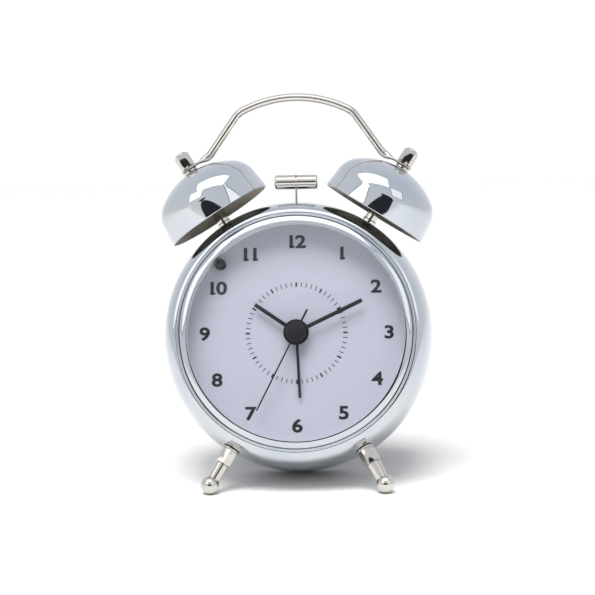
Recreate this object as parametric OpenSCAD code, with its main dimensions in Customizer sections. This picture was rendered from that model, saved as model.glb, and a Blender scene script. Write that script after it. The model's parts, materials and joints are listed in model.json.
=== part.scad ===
// Twin-bell alarm clock with a quartz movement and an electric hammer.
// Millimetres. World frame: +Z up, the dial faces -Y, the table is the plane z = 0.
// Every piece is drawn in the clock's own frame first: the dial's front face is z = 0, +z points
// out of the dial towards the reader, +y points to twelve, +x points to three.

/* [Case] */
// Largest diameter of the drum-shaped case
case_d = 116; // [112:1:140]
// Thickness of the case's sheet metal
case_wall = 0.8; // [0.6:0.1:1.2]
// Distance from the dial's face back to the case's rear edge
case_back = 43; // [40:1:54]
// Distance behind the dial's face where the case first reaches its full diameter
case_swell = 22; // [14:1:28]
// How far the case's front rim stands in from its largest radius
front_roll = 7.8; // [6:0.2:9]
// Height of the case's front rim above the dial's face
front_rim_z = 9; // [8:0.5:12]
// Rounding of the case's rear edge
back_edge_r = 3; // [2:0.5:4]

/* [Bezel and dial] */
// Width of the bezel's front lip
bezel_lip_w = 4.9; // [3.8:0.1:6]
// Thickness of the bezel's tube that holds the lens and the dial
bezel_wall = 1.4; // [1:0.1:2]
// Thickness of the lens
lens_t = 1.5; // [1:0.1:2]
// Thickness of the dial
dial_t = 0.8; // [0.5:0.1:1.2]
// Thickness of the dial carrier
carrier_t = 2.2; // [1.8:0.1:3]
// Width of the white ring between the dial and the lens
reflector_w = 1.5; // [1:0.1:1.6]

/* [Hands] */
// Length of the hour hand from the centre
hour_len = 21; // [14:0.5:24]
// Length of the minute hand from the centre
minute_len = 30.6; // [22:0.2:38]
// Length of the second hand from the centre
second_len = 36.7; // [26:0.1:42]
// Length of the alarm hand from the centre
alarm_len = 27.4; // [18:0.2:34]
// Thickness of the hands
hand_t = 0.4; // [0.3:0.1:0.5]
// Diameter of the disc under the hub cap
hub_disc_d = 10.8; // [9:0.2:13]
// Diameter of the hub cap
hub_cap_d = 8.4; // [6:0.2:9]
// Angles of the hands at rest, clockwise from twelve: hour, minute, second, alarm
rest_angles = [304.5, 64.6, 207, 177.3];

/* [Bells] */
// Diameter of a bell's mouth
bell_d = 47.8; // [38:0.2:58]
// Height of a bell
bell_h = 22.6; // [18:0.2:28]
// Thickness of a bell's wall
bell_wall = 0.8; // [0.6:0.1:1.2]
// Angle between a bell's axis and twelve
bell_angle = 32.4; // [31:0.1:40]
// Gap between the case and the plane of a bell's mouth, along the bell's axis
bell_gap = 4.2; // [3:0.1:9]
// Forward tilt of the plane that holds the bells, the handle and the hammer
bell_tilt = 7; // [0:0.5:10]
// Depth behind the dial at which that plane meets the clock's axis
bell_plane_back = 15; // [10:0.5:20]
// Diameter of a bell post
post_d = 5.5; // [4.5:0.1:7]
// Diameter of the studs on the posts and the feet
stud_d = 3; // [2.5:0.1:3.5]

/* [Handle] */
// Diameter of the handle's wire
wire_d = 3.5; // [2.5:0.1:4.5]
// Radius of the handle's top arch, on the wire's centre line
arch_r = 50; // [44:1:60]
// Angle from twelve at which the arch ends
arch_end = 27; // [22:1:30]
// Radius of the bend at the handle's shoulder
shoulder_r = 9; // [6:0.5:12]
// Slope of the handle's legs, as the angle of their normal from twelve
leg_angle = 55; // [50:1:62]
// Radius of the bend where a leg meets its flattened end
heel_r = 5; // [4:0.5:7]
// Thickness of the handle's flattened ends
tab_t = 1.3; // [1:0.1:1.8]
// Width of the handle's flattened ends
tab_w = 7.4; // [6:0.2:9]

/* [Feet] */
// Angle between a foot and six o'clock
foot_splay = 30; // [26:1:34]
// Position of a foot's axis in front of the dial's face, behind if negative
foot_z = -1; // [-6:0.5:0]
// Length of a foot's hexagon collar
foot_collar = 6.9; // [5:0.1:9]
// Width of the collar across its flats
foot_hex = 6.3; // [5:0.1:8]
// Length of a foot's turned taper
foot_taper = 7; // [5:0.1:10]
// Diameter of a foot's ball
foot_ball_d = 7.7; // [6.4:0.1:9]

/* [Hammer] */
// Diameter of the hammer's head
head_d = 6.2; // [5:0.1:7]
// Height of the head's middle above the case's largest radius
head_rise = 8.3; // [5:0.1:11]
// Depth of the hammer's pivot below the case's largest radius
pivot_drop = 13; // [12:0.5:15]
// Swing of the hammer to each side
hammer_swing = 8; // [5:0.5:8.5]
// Gap left between the head and a bell's rim at the end of the swing
strike_gap = 0.8; // [0.4:0.1:2]
// Thickness of the hammer's arm
arm_t = 0.7; // [0.5:0.1:1]
// Width of the hammer's arm
arm_w = 4; // [3:0.2:5]

/* [Movement] */
// Width and height of the square movement
movement_w = 56; // [54:1:60]
// Depth of the movement behind the dial carrier
movement_deep = 15; // [15:0.5:18]
// Wall of the movement's shell
movement_wall = 1.5; // [1.2:0.1:2]
// Diameter of the setting knobs
knob_d = 15; // [11:0.5:18]
// Height of the setting knobs
knob_h = 8; // [6:0.5:10]

/* [Battery] */
// Diameter of the AA cell
cell_d = 14.3; // [14.3:0.1:14.5]
// Length of the AA cell with its button
cell_len = 50.3; // [49.5:0.1:50.5]
// Distance of the cell's axis from the clock's axis
cell_x = -24; // [-25:0.5:-23]
// Wall of the battery bay
bay_wall = 1.5; // [1:0.1:2]

/* [Hidden] */
$fn = 96;

// Named clearances
shaft_gap = 0.05;  // radial, between a shaft and its hole
tube_gap = 0.08;   // radial, between one hand tube and the next
seat_gap = 0.05;   // between a round piece and the bore that it drops into
part_gap = 0.3;    // between moving pieces that don't touch
hole_gap = 0.3;    // radial, around a stud where it passes through sheet metal

case_r = case_d / 2;
rim_r = case_r - front_roll;
opening_r = rim_r - 0.9;
swell_len = front_rim_z + case_swell;
neck_len = 7;

// Radius of the case's outside at height z, and its slope there as an angle
function swell_part(z) = min(1, max(0, (z + case_swell) / swell_len));
function case_radius(z) = rim_r + (case_r - rim_r) * sqrt(1 - pow(swell_part(z), 2));
function case_slope(z) =
    atan((case_r - rim_r) * swell_part(z) / swell_len / sqrt(1 - pow(swell_part(z), 2)));

// Points of an arc, as [radius, height] pairs or [x, y] pairs
function arc(centre, r, from, to, steps = 12) =
    [for (i = [0:steps]) let (a = from + (to - from) * i / steps) centre + r * [cos(a), sin(a)]];
function oval(centre, rx, ry, from, to, steps = 16) =
    [for (i = [0:steps])
        let (a = from + (to - from) * i / steps) centre + [rx * cos(a), ry * sin(a)]];

// Stack from the lens back to the movement
lip_under = front_rim_z;
lens_back = lip_under - lens_t;
carrier_back = -dial_t - carrier_t;
tube_out_r = opening_r - seat_gap;
tube_in_r = tube_out_r - bezel_wall;
disc_r = tube_in_r - seat_gap;
crimp_t = 0.5;

// Back cover, pillars and screws
lip_r = case_r - back_edge_r - 2;
cover_t = 1.2;
cover_front = -case_back;
cover_rear = cover_front - cover_t;
cover_r = lip_r + 1.6;
pillar_ring = disc_r - 4.8;
pillar_angles = [30, 150, 270];
pillar_d = 5;
screw_d = 2.4;

// Wheel layers of the movement: [front face, back face], one every 1.5 mm
layer_t = 1;
function layer(n) = carrier_back - 2.5 - (n - 1) * 1.5;
movement_front = carrier_back - 0.05;
shell_front_t = 1.95;
movement_rear = movement_front - movement_deep;
back_plate_t = 1.5;

// Radii of the nested hand tubes, from the middle out
arbor_r = 0.55;
cannon_in = arbor_r + tube_gap;
cannon_out = 1.17;
hour_in = cannon_out + tube_gap;
hour_out = 1.8;
alarm_in = hour_out + tube_gap;
alarm_out = 2.5;
nozzle_in = alarm_out + tube_gap;
nozzle_out = 3.6;

// Heights of the hands' undersides
alarm_z = 1.8;
hour_z = 3;
minute_z = 4.2;
second_z = 5.6;
cap_z = second_z + hand_t;

// Tooth counts and modules of the train, and where each arbor stands
second_teeth = 60;
idler_pinion = 10;
idler_teeth = 50;
rotor_pinion = 10;
second_pinion = 8;
third_teeth = 60;
third_pinion = 8;
centre_teeth = 64;
cannon_teeth = 12;
motion_teeth = 36;
motion_pinion = 10;
hour_teeth = 40;
time_teeth = 14;
alarm_teeth = 40;
alarm_pinion = 20;
train_reach = 11.9;
third_angle = 20;
idler_angle = 160;
rotor_reach = 7.5;
motion_reach = 9.6;
motion_angle = 270;
third_pos = train_reach * [cos(third_angle), sin(third_angle)];
idler_pos = train_reach * [cos(idler_angle), sin(idler_angle)];
rotor_pos = idler_pos + [-rotor_reach, 0];
motion_pos = motion_reach * [cos(motion_angle), sin(motion_angle)];
time_module = 2 * motion_reach / (cannon_teeth + motion_teeth);
time_reach = time_module * (motion_teeth + time_teeth) / 2;
time_pos = motion_pos + [0, -time_reach];
alarm_module = 0.42;
alarm_reach = alarm_module * (alarm_teeth + alarm_pinion) / 2;
alarm_pos = [0, alarm_reach];
stem_r = 1.2;
knob_front = cover_rear - 1;
pivot_r = 0.5;

function module_of(reach, a, b) = 2 * reach / (a + b);
// Turn of wheel b that puts one of its gaps on a tooth of wheel a, which stands turned by
// a_turn; b lies from a in the direction given
function mesh_turn(direction, a_turn, a, b) =
    direction + 180 + 180 / b - (a_turn - direction) * a / b;

// Outline of a wheel with straight-sided teeth, one tooth centred on +x
function tooth(n, m, i) =
    let (
        pitch = 360 / n,
        mid = i * pitch,
        tip = m * (n / 2 + 0.75),
        root = m * (n / 2 - 1.05)
    ) [
        root * [cos(mid - 0.29 * pitch), sin(mid - 0.29 * pitch)],
        tip * [cos(mid - 0.09 * pitch), sin(mid - 0.09 * pitch)],
        tip * [cos(mid + 0.09 * pitch), sin(mid + 0.09 * pitch)],
        root * [cos(mid + 0.29 * pitch), sin(mid + 0.29 * pitch)]
    ];
function wheel_outline(n, m) = [for (i = [0:n - 1]) each tooth(n, m, i)];

third_turn = mesh_turn(third_angle, 0, second_pinion, third_teeth);
centre_turn = mesh_turn(third_angle + 180, third_turn, third_pinion, centre_teeth);
idler_turn = mesh_turn(idler_angle, 0, second_teeth, idler_pinion);
rotor_turn = mesh_turn(180, idler_turn, idler_teeth, rotor_pinion);
motion_turn = mesh_turn(motion_angle, 0, cannon_teeth, motion_teeth);
hour_turn = mesh_turn(motion_angle + 180, motion_turn, motion_pinion, hour_teeth);
time_turn = mesh_turn(270, motion_turn, motion_teeth, time_teeth);
alarm_turn = mesh_turn(90, 0, alarm_teeth, alarm_pinion);

// Bells, posts and handle, measured along a bell's axis from the bell plane's origin
axis_rise = cos(bell_angle) * sin(bell_tilt);
axis_reach = sqrt(1 - axis_rise * axis_rise);
function post_seat(d) = case_radius(-bell_plane_back + d * axis_rise) / axis_reach;
seat_d = post_seat(post_seat(post_seat(case_r))) + 0.06;
mouth_d = seat_d + bell_gap;
crown_d = mouth_d + bell_h;
bell_washer_t = 1;
strap_d = crown_d + bell_washer_t;
bell_nut_h = 7.4;
bell_nut_w = 5.8;
bell_washer_d = 6;
stud_in = 4.5;
stud_nut_h = 2.2;

// Handle path: arch, shoulder bend, leg, heel bend, then the flattened end on the bell's axis
tab_len = 9.5;
wire_r = wire_d / 2;
// The wire's centre line runs through the middle of the flattened end
tab_mid = strap_d + tab_t / 2;
leg_len = (tab_mid * sin(bell_angle) - (arch_r - shoulder_r) * sin(arch_end)
    - (shoulder_r + heel_r) * sin(leg_angle) + heel_r * sin(bell_angle)
    - tab_len * cos(bell_angle)) / cos(leg_angle);
arch_y = tab_mid * cos(bell_angle) - (arch_r - shoulder_r) * cos(arch_end)
    - (shoulder_r + heel_r) * cos(leg_angle) + leg_len * sin(leg_angle)
    + heel_r * cos(bell_angle) + tab_len * sin(bell_angle);

// Feet, measured along a foot's axis from the case's surface
foot_washer_t = 0.6;
foot_washer_d = 7.6;
foot_lift = 0.12;
foot_tilt = case_slope(foot_z);
collar_0 = foot_lift + foot_washer_t;
taper_0 = collar_0 + foot_collar;
taper_1 = taper_0 + foot_taper;
taper_end_r = 2.55;
ball_r = foot_ball_d / 2;
ball_c = taper_1 + sqrt(ball_r * ball_r - taper_end_r * taper_end_r);

// Lean of the clock: it rests on both balls and on the case's rounded rear edge
ball_out = case_radius(foot_z) + ball_c * cos(foot_tilt);
ball_y = -ball_out * cos(foot_splay);
ball_z = foot_z + ball_c * sin(foot_tilt);
edge_y = -(case_r - back_edge_r);
edge_z = -(case_back - back_edge_r);
rest_span = norm([ball_y - edge_y, ball_z - edge_z]);
lean = atan2(edge_y - ball_y, ball_z - edge_z) + asin((ball_r - back_edge_r) / rest_span);
lift = ball_r - ball_y * cos(lean) - ball_z * sin(lean);
front_most = ball_y * sin(lean) - ball_z * cos(lean) - ball_r;
rear_most = (alarm_pos[1] + knob_d / 2) * sin(lean) - (knob_front - knob_h) * cos(lean);
shift_back = -(front_most + rear_most) / 2;

// Hammer and striker, in the bell plane; the head just clears the rims of both bells
pivot_y = case_r - pivot_drop;
head_y = case_r + head_rise;
rim_x = mouth_d * sin(bell_angle) - bell_d / 2 * cos(bell_angle);
head_len = 2 * (rim_x - (head_y - pivot_y) * sin(hammer_swing) - strike_gap);
core_y = pivot_y - 7.5;
pole_x = 4.2;
striker_deep = 6.9;
cheek_x = 20;

// Battery bay
cell_r = cell_d / 2;
cell_z = cover_front + 0.4 + cell_r;
bay_w = cell_d + 0.9;
bay_len = cell_len + 3.7;
bay_floor = cell_z + cell_r + 0.3;

chrome = [0.80, 0.82, 0.85];
nickel = [0.78, 0.77, 0.74];
steel = [0.62, 0.64, 0.66];
brass = [0.80, 0.66, 0.36];
ink = [0.14, 0.14, 0.18];
white = [0.93, 0.93, 0.94];
abs_dark = [0.20, 0.21, 0.23];
copper = [0.74, 0.42, 0.24];

// The clock's own frame, the bell plane, a bell's axis and a foot's axis
module clock() {
    translate([0, shift_back, lift]) rotate([90 - lean, 0, 0]) children();
}

module bell_plane() {
    clock() translate([0, 0, -bell_plane_back]) rotate([bell_tilt, 0, 0]) children();
}

module bell_axis(side) {
    bell_plane() rotate([0, 0, -side * bell_angle]) rotate([-90, 0, 0]) children();
}

module foot_axis(side) {
    clock() rotate([0, 0, 180 + side * foot_splay]) translate([0, case_radius(foot_z), foot_z])
        rotate([foot_tilt - 90, 0, 0]) children();
}

module both_sides() {
    for (side = [-1, 1]) {
        $side = side;
        children();
    }
}

module at_pillars() {
    for (a = pillar_angles) {
        rotate([0, 0, a]) translate([pillar_ring, 0, 0]) children();
    }
}

// A disc or a tube between two heights
module disc(r, low, high) {
    translate([0, 0, low]) cylinder(r = r, h = high - low);
}

module tube(outer, inner, low, high) {
    translate([0, 0, low]) difference() {
        cylinder(r = outer, h = high - low);
        translate([0, 0, -1]) cylinder(r = inner, h = high - low + 2);
    }
}

module rounded_rect(w, h, r) {
    square([w - 2 * r, h], center = true);
    square([w, h - 2 * r], center = true);
    for (x = [-1, 1], y = [-1, 1]) {
        translate([x * (w / 2 - r), y * (h / 2 - r)]) circle(r = r, $fn = 32);
    }
}

module toothed(n, m, turn, n_layer) {
    translate([0, 0, layer(n_layer) - layer_t]) rotate([0, 0, turn])
        linear_extrude(layer_t) polygon(wheel_outline(n, m));
}

module hexagon(across, h) {
    cylinder(d = across / cos(30), h = h, $fn = 6);
}

// Case and front

module case_outline() {
    inner_rim = opening_r + case_wall;
    deep = case_r - case_wall;
    inner_r = back_edge_r - case_wall;
    polygon(concat(
        [[opening_r, front_rim_z]],
        oval([rim_r, -case_swell], case_r - rim_r, swell_len, 90, 0),
        arc([case_r - back_edge_r, edge_z], back_edge_r, 0, -90, 8),
        [[lip_r, -case_back], [lip_r, -case_back + case_wall]],
        arc([case_r - back_edge_r, edge_z], inner_r, -90, 0, 8),
        oval([inner_rim, -case_swell], deep - inner_rim, swell_len - case_wall, 0, 90),
        [[inner_rim, front_rim_z - neck_len], [opening_r, front_rim_z - neck_len]]
    ));
}

module case_shell() {
    slot_w = 2 * (case_r - pivot_y) * tan(hammer_swing) + arm_t + 2.4;
    color(chrome) difference() {
        clock() rotate_extrude() case_outline();
        both_sides() {
            bell_axis($side) translate([0, 0, seat_d - 6]) cylinder(r = stud_d / 2 + hole_gap, h = 9);
            foot_axis($side) translate([0, 0, -4]) cylinder(r = stud_d / 2 + hole_gap, h = 7);
        }
        bell_plane() translate([-slot_w / 2, case_r - 6, -arm_w / 2 - 0.7])
            cube([slot_w, 10, arm_w + 1.4]);
    }
}

module bezel_ring() {
    lip_r = rim_r - bezel_lip_w;
    groove_r = lip_r + (rim_r - lip_r) * 0.66;
    color(chrome) clock() rotate_extrude() polygon(concat(
        [[lip_r, lip_under], [lip_r, lip_under + 0.8]],
        arc([lip_r + 1.2, lip_under + 0.3], 1.2, 125, 70, 6),
        [[groove_r - 0.25, lip_under + 0.6], [groove_r, lip_under + 0.25]],
        [[groove_r + 0.25, lip_under + 0.55]],
        arc([groove_r + 0.85, lip_under + 0.2], 0.65, 130, 45, 5),
        [[rim_r - 0.1, lip_under + 0.4], [rim_r - 0.1, lip_under + 0.05]],
        [[tube_out_r, lip_under + 0.05], [tube_out_r, carrier_back - crimp_t]],
        [[tube_in_r - 0.8, carrier_back - crimp_t], [tube_in_r - 0.8, carrier_back]],
        [[tube_in_r, carrier_back], [tube_in_r, lip_under]]
    ));
}

module lens() {
    color([0.85, 0.92, 0.95], 0.3) clock() disc(disc_r, lens_back, lip_under);
}

module reflector_ring() {
    color(white) clock() tube(disc_r, disc_r - reflector_w, 0, lens_back);
}

module dial() {
    color(white) clock() difference() {
        disc(disc_r, -dial_t, 0);
        disc(nozzle_out + seat_gap, -dial_t - 1, 1);
        lamp_place() disc(lamp_lead_r, -dial_t - 1, 1);
    }
}

module dial_carrier() {
    color(abs_dark) clock() difference() {
        disc(disc_r, carrier_back, -dial_t);
        disc(nozzle_out + seat_gap, carrier_back - 1, 1);
        lamp_place() disc(lamp_lead_r, carrier_back - 1, 1);
        at_pillars() {
            disc(screw_d / 2 + 0.1, carrier_back - 1, 1);
            disc(screw_d + seat_gap, -dial_t - 1.25, 1);
        }
    }
}

module dial_nut() {
    color(brass) clock() difference() {
        hexagon(8.4, 1.3);
        translate([0, 0, -1]) cylinder(r = nozzle_out, h = 4);
    }
}

module frame_pillars() {
    color(steel) clock() at_pillars() difference() {
        disc(pillar_d / 2, cover_front, carrier_back);
        disc(screw_d / 2 + shaft_gap, cover_front - 1, cover_front + 7);
        disc(screw_d / 2 + shaft_gap, carrier_back - 6, carrier_back + 1);
    }
}

module carrier_screws() {
    color(steel) clock() at_pillars() {
        disc(screw_d, -dial_t - 1.2, -dial_t - 0.1);
        disc(screw_d / 2, carrier_back - 5, -dial_t - 1.2);
    }
}

module cover_screws() {
    color(steel) clock() at_pillars() difference() {
        union() {
            disc(screw_d, cover_rear - 1.3, cover_rear);
            disc(screw_d / 2, cover_rear, cover_front + 6);
        }
        translate([0, 0, cover_rear - 1]) {
            cube([2.6, 0.6, 1.4], center = true);
            cube([0.6, 2.6, 1.4], center = true);
        }
    }
}

// Lamp

lamp_angle = 137.4;
lamp_lead_r = 0.9;
lamp_r = 1.5;
hood_r = 2.4;
hood_h = 4.6;
dome_z = hood_h - hood_r;
lamp_ring = disc_r - reflector_w - hood_r - 0.4;

module lamp_place() {
    rotate([0, 0, lamp_angle]) translate([lamp_ring, 0, 0]) children();
}

module dial_lamp() {
    color([0.9, 0.95, 0.8]) clock() lamp_place() {
        disc(lamp_r, 0.5, dome_z);
        translate([0, 0, dome_z]) sphere(r = lamp_r, $fn = 32);
        disc(lamp_lead_r - 0.2, carrier_back - 1, 0.5);
    }
}

// The hood is open on the side that faces the dial's middle
module lamp_hood() {
    color(abs_dark) clock() lamp_place() difference() {
        union() {
            disc(hood_r, 0, dome_z);
            translate([0, 0, dome_z]) sphere(r = hood_r, $fn = 32);
        }
        disc(lamp_r + 0.15, -3, dome_z);
        translate([0, 0, dome_z]) sphere(r = lamp_r + 0.15, $fn = 32);
        translate([-5, -1.2, 1]) cube([5, 2.4, 2.6]);
    }
}

// Movement

module movement_case() {
    inner = movement_w - 2 * movement_wall;
    color([0.86, 0.87, 0.88]) clock() {
        difference() {
            union() {
                translate([0, 0, movement_rear + back_plate_t])
                    linear_extrude(movement_deep - back_plate_t) rounded_rect(movement_w, movement_w, 3);
                disc(nozzle_out, movement_front - 1, 1.5);
            }
            translate([0, 0, movement_rear + back_plate_t - 1])
                linear_extrude(movement_deep - back_plate_t - shell_front_t + 1)
                    rounded_rect(inner, inner, 2);
            disc(nozzle_in, movement_front - 3, 2);
            for (p = [third_pos, idler_pos, rotor_pos]) {
                translate(p) disc(pivot_r + shaft_gap, movement_front - 4, movement_front - 0.8);
            }
            for (p = [time_pos, alarm_pos]) {
                translate(p) disc(stem_r + shaft_gap, movement_front - 4, movement_front - 0.8);
            }
        }
        translate(motion_pos) disc(0.6, layer(3) - layer_t - 0.25, movement_front - 1);
    }
}

module movement_back() {
    color([0.80, 0.82, 0.84]) clock() difference() {
        translate([0, 0, movement_rear]) linear_extrude(back_plate_t)
            rounded_rect(movement_w, movement_w, 3);
        for (p = [[0, 0], third_pos, idler_pos, rotor_pos]) {
            translate(p) disc(pivot_r + shaft_gap, movement_rear - 1, movement_rear + 3);
        }
        for (p = [time_pos, alarm_pos]) {
            translate(p) disc(stem_r + shaft_gap, movement_rear - 1, movement_rear + 3);
        }
    }
}

module circuit_board() {
    board = [16, 16, 1];
    board_at = [8, -24.5, movement_rear + 3];
    color([0.15, 0.35, 0.22]) clock() {
        translate(board_at) cube(board);
        translate(board_at + [5, 5, -0.8]) cube([6, 6, 0.8]);
        translate(board_at + [2, 12, 1]) cylinder(d = 2, h = 3, $fn = 32);
    }
}

coil_at = rotor_pos + [-0.2, -18];
coil_half = 4.7;
bar_half = 1;
stator_z = layer(4) - 0.5;

module stator() {
    arm = coil_half + 2 * bar_half;
    color(steel) clock() translate([0, 0, stator_z - 0.5]) linear_extrude(1) difference() {
        union() {
            translate(rotor_pos) circle(r = 5.3);
            for (x = [-arm, coil_half]) {
                translate(coil_at + [x, -bar_half]) square([2 * bar_half, 19]);
            }
            translate(coil_at + [-arm, -bar_half]) square([2 * arm, 2 * bar_half]);
            translate(coil_at + [-arm, 16.5]) square([2 * arm, 3]);
        }
        translate(rotor_pos) circle(r = 3.5);
    }
}

module along_coil() {
    clock() translate([coil_at[0], coil_at[1], stator_z]) rotate([0, 90, 0]) children();
}

module coil_bobbin() {
    color([0.75, 0.2, 0.15]) along_coil() difference() {
        union() {
            disc(1.9, -coil_half + 0.1, coil_half - 0.1);
            disc(3.8, -coil_half + 0.1, -coil_half + 0.7);
            disc(3.8, coil_half - 0.7, coil_half - 0.1);
        }
        cube([1.1, 2.1, 20], center = true);
    }
}

module coil_winding() {
    color(copper) along_coil() tube(3.4, 1.9, -coil_half + 0.7, coil_half - 0.7);
}

module rotor() {
    color([0.3, 0.3, 0.33]) clock() translate(rotor_pos) {
        disc(pivot_r, movement_rear + 0.2, movement_front - 0.9);
        disc(3, layer(4) - 2, layer(4) + 1);
        toothed(rotor_pinion, module_of(rotor_reach, rotor_pinion, idler_teeth), rotor_turn, 7);
    }
}

module rotor_idler() {
    color(white) clock() translate(idler_pos) {
        disc(pivot_r, movement_rear + 0.2, movement_front - 0.9);
        disc(1.1, layer(7), layer(6) - layer_t);
        toothed(idler_teeth, module_of(rotor_reach, rotor_pinion, idler_teeth), idler_turn, 7);
        toothed(idler_pinion, module_of(train_reach, idler_pinion, second_teeth), idler_turn, 6);
    }
}

module second_wheel() {
    color([0.85, 0.85, 0.8]) clock() {
        disc(pivot_r, movement_rear + 0.2, layer(7));
        disc(arbor_r, layer(7), cap_z);
        disc(1, layer(6), layer(5) - layer_t);
        toothed(second_teeth, module_of(train_reach, idler_pinion, second_teeth), 0, 6);
        toothed(second_pinion, module_of(train_reach, second_pinion, third_teeth), 0, 5);
    }
}

module third_wheel() {
    color(white) clock() translate(third_pos) {
        disc(pivot_r, movement_rear + 0.2, movement_front - 0.9);
        disc(0.9, layer(5), layer(4) - layer_t);
        toothed(third_teeth, module_of(train_reach, second_pinion, third_teeth), third_turn, 5);
        toothed(third_pinion, module_of(train_reach, third_pinion, centre_teeth), third_turn, 4);
    }
}

module centre_wheel() {
    color(brass) clock() difference() {
        toothed(centre_teeth, module_of(train_reach, third_pinion, centre_teeth), centre_turn, 4);
        disc(cannon_out + shaft_gap, layer(5), layer(3));
    }
}

module cannon_pinion() {
    color(brass) clock() difference() {
        union() {
            disc(cannon_out, layer(4) - layer_t - 0.2, minute_z + 0.8);
            toothed(cannon_teeth, time_module, 0, 3);
        }
        disc(cannon_in, layer(6), 20);
    }
}

module motion_wheel() {
    color(white) clock() translate(motion_pos) difference() {
        union() {
            toothed(motion_teeth, time_module, motion_turn, 3);
            disc(1.5, layer(3), layer(2) - layer_t);
            toothed(motion_pinion, module_of(motion_reach, motion_pinion, hour_teeth), motion_turn, 2);
        }
        disc(0.6 + shaft_gap, layer(5), layer(1));
    }
}

module hour_wheel() {
    color(white) clock() difference() {
        union() {
            disc(hour_out, layer(2) - layer_t, hour_z + 0.8);
            toothed(hour_teeth, module_of(motion_reach, motion_pinion, hour_teeth), hour_turn, 2);
        }
        disc(hour_in, layer(4), 20);
    }
}

module alarm_wheel() {
    color(white) clock() difference() {
        union() {
            disc(alarm_out, layer(1) - layer_t, alarm_z + hand_t);
            toothed(alarm_teeth, alarm_module, 0, 1);
        }
        disc(alarm_in, layer(3), 20);
    }
}

module stem(place) {
    translate(place) disc(stem_r, knob_front - knob_h + 2, movement_front - 0.9);
}

module alarm_stem() {
    color(white) clock() {
        stem(alarm_pos);
        translate(alarm_pos) toothed(alarm_pinion, alarm_module, alarm_turn, 1);
    }
}

module time_stem() {
    color(white) clock() {
        stem(time_pos);
        translate(time_pos) toothed(time_teeth, time_module, time_turn, 3);
    }
}

// A knob with grip flutes; the stem fits its bore
module knob(place) {
    flutes = 24;
    clock() translate(place) difference() {
        translate([0, 0, knob_front - knob_h]) linear_extrude(knob_h) difference() {
            circle(d = knob_d);
            for (i = [0:flutes - 1]) {
                rotate([0, 0, i * 360 / flutes]) translate([knob_d / 2 + 0.25, 0])
                    circle(r = 0.6, $fn = 24);
            }
        }
        disc(stem_r, knob_front - knob_h + 2, knob_front + 1);
    }
}

module alarm_knob() {
    color(abs_dark) knob(alarm_pos);
}

module time_knob() {
    color(abs_dark) knob(time_pos);
}

// Hands

// A straight hand on a round boss, turned clockwise from twelve
module hand(angle, low, length, root_w, tip_w, boss_r, bore_r, tail = 0, tail_w = 0) {
    clock() rotate([0, 0, -angle]) difference() {
        translate([0, 0, low]) linear_extrude(hand_t) {
            circle(r = boss_r);
            polygon([[-root_w / 2, 0], [-tip_w / 2, length], [tip_w / 2, length], [root_w / 2, 0]]);
            if (tail > 0) {
                translate([-tail_w / 2, -tail]) square([tail_w, tail]);
            }
        }
        disc(bore_r, low - 1, low + 2);
    }
}

module alarm_hand() {
    color(ink) hand(rest_angles[3], alarm_z, alarm_len, 1, 1.15, 3.4, alarm_out);
}

module hour_hand() {
    color(ink) {
        hand(rest_angles[0], hour_z, hour_len, 1.55, 1.55, 2.8, hour_out);
        clock() tube(2.8, hour_out, hour_z + hand_t, hour_z + 0.8);
    }
}

module minute_hand() {
    color(ink) {
        hand(rest_angles[1], minute_z, minute_len, 1.6, 1.6, hub_disc_d / 2, cannon_out);
        clock() tube(hub_disc_d / 2, cannon_out, minute_z + hand_t, minute_z + 0.8);
    }
}

module second_hand() {
    color(ink) hand(rest_angles[2], second_z, second_len, 0.55, 0.55, 1.6, arbor_r, 10.6, 0.85);
}

module hub_cap() {
    cap_r = hub_cap_d / 2;
    cap_top = min(cap_z + 1.2, lens_back - part_gap);
    color(ink) clock() rotate_extrude() polygon([
        [0, cap_z], [cap_r, cap_z], [cap_r, cap_top - 0.6], [cap_r - 0.7, cap_top], [0, cap_top]
    ]);
}

// Back

switch_at = [22, 16];
switch_travel = 4;
button_at = [22, -14];
button_r = 3.6;
button_travel = 1.5;
door_gap = 0.2;
hinge_r = 0.9;
hinge_pin_r = 0.5;
hinge_pin_reach = 0.8;

module bay_place() {
    translate([cell_x, 0, 0]) children();
}

// The door's hinge line, along its lower edge
module hinge_axis() {
    bay_place() translate([0, -bay_len / 2 + door_gap + hinge_r, cover_rear + hinge_r])
        rotate([0, 90, 0]) children();
}

module back_cover() {
    bay_out = bay_floor + bay_wall;
    color(abs_dark) clock() difference() {
        union() {
            disc(cover_r, cover_rear, cover_front);
            disc(lip_r - seat_gap, cover_front, cover_front + case_wall);
            bay_place() translate([0, 0, cover_front]) linear_extrude(bay_out - cover_front)
                rounded_rect(bay_w + 2 * bay_wall, bay_len + 2 * bay_wall, 2);
        }
        bay_place() translate([-bay_w / 2, -bay_len / 2, cover_rear - 1])
            cube([bay_w, bay_len, bay_floor - cover_rear + 1]);
        hinge_axis() disc(hinge_pin_r + shaft_gap, -bay_w / 2 - 0.7, bay_w / 2 + 0.7);
        at_pillars() {
            disc(screw_d / 2 + 0.1, cover_rear - 1, cover_front + 2);
            disc(pillar_d / 2 + 0.1, cover_front, cover_front + 2);
        }
        for (p = [time_pos, alarm_pos]) {
            translate(p) disc(stem_r + part_gap, cover_rear - 1, cover_front + 2);
        }
        translate(switch_at) translate([-1.3, -1.3 - switch_travel / 2, cover_rear - 1])
            cube([2.6, 2.6 + switch_travel, 5]);
        translate(button_at) disc(button_r + tube_gap, cover_rear - 1, cover_front + 2);
    }
}

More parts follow.
